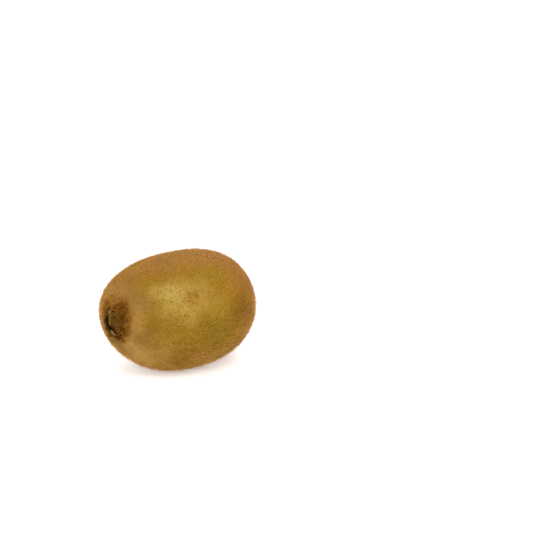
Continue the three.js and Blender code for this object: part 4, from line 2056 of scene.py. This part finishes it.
@dataclass
class Coat:
    """All the hair on the skin: the short down, the bristles among it, and both ends' tufts."""

    skin: Skin
    down_finish: FuzzFinish = FuzzFinish(
        "down_hair", ("8e6410", "c4962e", "dec05c"), ("9c662a", "d2944a", "e6bc80")
    )
    ring_finish: FuzzFinish = FuzzFinish(
        "ring_hair", ("3e2000", "a66808", "dea840"), ("4a2a02", "b07418", "e4b25c")
    )
    down_tufts: int = 22000
    in_tuft: int = 11
    bristle_tufts: int = 30000
    in_bristle_tuft: int = 2
    strays: int = 3000
    pit_margin: float = 0.5
    dimple_edge: Span = (2.2, 3.4)
    flat_spot_edge: Span = (0.1, 0.6)
    evenness: float = 0.85
    patchiness: SoftNoise = SoftNoise(61, 5.0, 0.35)
    rub_loss: float = 0.75
    ring_streaks: SoftNoise = SoftNoise(62, 0.12, 1.2)
    ring_reach: Span = (11.3, 5.9)
    ring_falloff: float = 1.8
    ring_far_loss: float = 0.65
    tuft_reach: Span = (7.0, 3.6)

    def _outside(self, points: np.ndarray) -> np.ndarray:
        """Finds where hair may stand: off the pit, the dimple's floor and the flat spot.

        Args:
            points: Points of the skin.

        Returns:
            From 0 to 1 at each.
        """
        rim = self.skin.pit.rim
        pit = ramp(self.skin.from_pit(points), rim, rim + self.pit_margin)
        dimple = ramp(self.skin.from_dimple(points), *self.dimple_edge)
        return pit * dimple * ramp(points[:, 2], *self.flat_spot_edge)

    def _cover(self, points: np.ndarray) -> np.ndarray:
        """Returns how thick the coat is: thin where it is rubbed, and patchy all over."""
        patchy = self.evenness + self.patchiness.at(points)
        return self._outside(points) * patchy * (1 - self.rub_loss * self.skin.rub_and_highlight(points))

    def _half(self, blossom: bool) -> Callable[[np.ndarray], np.ndarray]:
        """Returns the cover of one half of the fruit alone."""
        return lambda points: self._cover(points) * ((points[:, 0] > 0) == blossom)

    def _ring(self, points: np.ndarray) -> np.ndarray:
        """Finds the cover of the thick ring round the pit.

        Args:
            points: Points of the skin.

        Returns:
            From 0 to 1 at each.
        """
        streak = self.ring_streaks.at(unit(points - self.skin.pit_centre))
        near_side = 1 - self.ring_far_loss * self.skin.far_side(points)
        ring = ramp(self.skin.from_halo(points) + streak, *self.ring_reach) ** self.ring_falloff
        return self._outside(points) * near_side * ring

    def _tuft(self, points: np.ndarray) -> np.ndarray:
        """Returns the cover of the tuft round the dried styles."""
        return self._outside(points) * ramp(self.skin.from_dimple(points), *self.tuft_reach)

    def _half_patches(self, number: int, half: str) -> list[Fuzz]:
        """Lists the down and the bristles of one half of the fruit.

        Args:
            number: Which half it is, for its seeds.
            half: The half's name.

        Returns:
            Both patches.
        """
        cover = self._half(half == "blossom")
        down = Fuzz(
            f"down_{half}_half",
            self.skin,
            self.down_finish,
            cover,
            tufts=self.down_tufts,
            hairs=self.in_tuft,
            seed=100 + number,
        )
        bristles = Fuzz(
            f"bristles_{half}_half",
            self.skin,
            self.down_finish,
            cover,
            tufts=self.bristle_tufts,
            hairs=self.in_bristle_tuft,
            seed=110 + number,
            shape=HairShape.BENT,
            length=(1.0, 1.9),
            lean=(42.0, 74.0),
            thickness=0.08,
            apart=0.63,
            clump=0.35,
            tint=(0.15, 0.85),
        )
        return [down, bristles]

    def _end_patches(self) -> list[Fuzz]:
        """Lists the thick hair round the pit and round the dried styles.

        Returns:
            Both patches.
        """
        ring = Fuzz(
            "ring_at_pit",
            self.skin,
            self.ring_finish,
            self._ring,
            tufts=3600,
            hairs=7,
            seed=120,
            shape=HairShape.BENT,
            comb=Comb.TO_STALK,
            length=(1.2, 2.4),
            lean=(30.0, 70.0),
            apart=0.4,
            spread=0.14,
            lift=(0.0, 0.0),
            swirl=0.3,
            tuft_turn=0.35,
            hair_turn=0.35,
            lower_growth=0.0,
            calm=0.0,
            local_tint=0.35,
        )
        tuft = Fuzz(
            "tuft_at_styles",
            self.skin,
            self.ring_finish,
            self._tuft,
            tufts=900,
            hairs=5,
            seed=121,
            shape=HairShape.BENT,
            length=(1.0, 2.0),
            lean=(20.0, 60.0),
            apart=0.35,
            spread=0.2,
            lower_growth=0.0,
            local_tint=0.0,
        )
        return [ring, tuft]

    def patches(self) -> list[Fuzz]:
        """Lists every patch of hair.

        Returns:
            The patches.
        """
        strays = Fuzz(
            "stray_hairs",
            self.skin,
            self.down_finish,
            self._cover,
            tufts=self.strays,
            hairs=1,
            seed=130,
            shape=HairShape.BENT,
            length=(1.4, 2.5),
            lean=(12.0, 55.0),
            thickness=0.055,
            apart=0.2,
            tint=(0.3, 1.0),
        )
        halves = [*self._half_patches(0, "stalk"), *self._half_patches(1, "blossom")]
        return [*halves, strays, *self._end_patches()]

    def build(self) -> list[bpy.types.Object]:
        """Makes every patch.

        Returns:
            The patches' pieces.
        """
        materials = {finish: finish.material() for finish in (self.down_finish, self.ring_finish)}
        return [patch.build(materials[patch.finish]) for patch in self.patches()]


def main() -> None:
    """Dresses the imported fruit, piece by piece, and sets up the studio."""
    logging.basicConfig(level=logging.INFO, format="%(name)s: %(message)s")
    skin = Skin()
    skin.build()
    Coat(skin).build()
    StalkEnd(skin).build()
    BlossomEnd(skin).build()
    Studio().build()


if __name__ == "__main__":
    main()
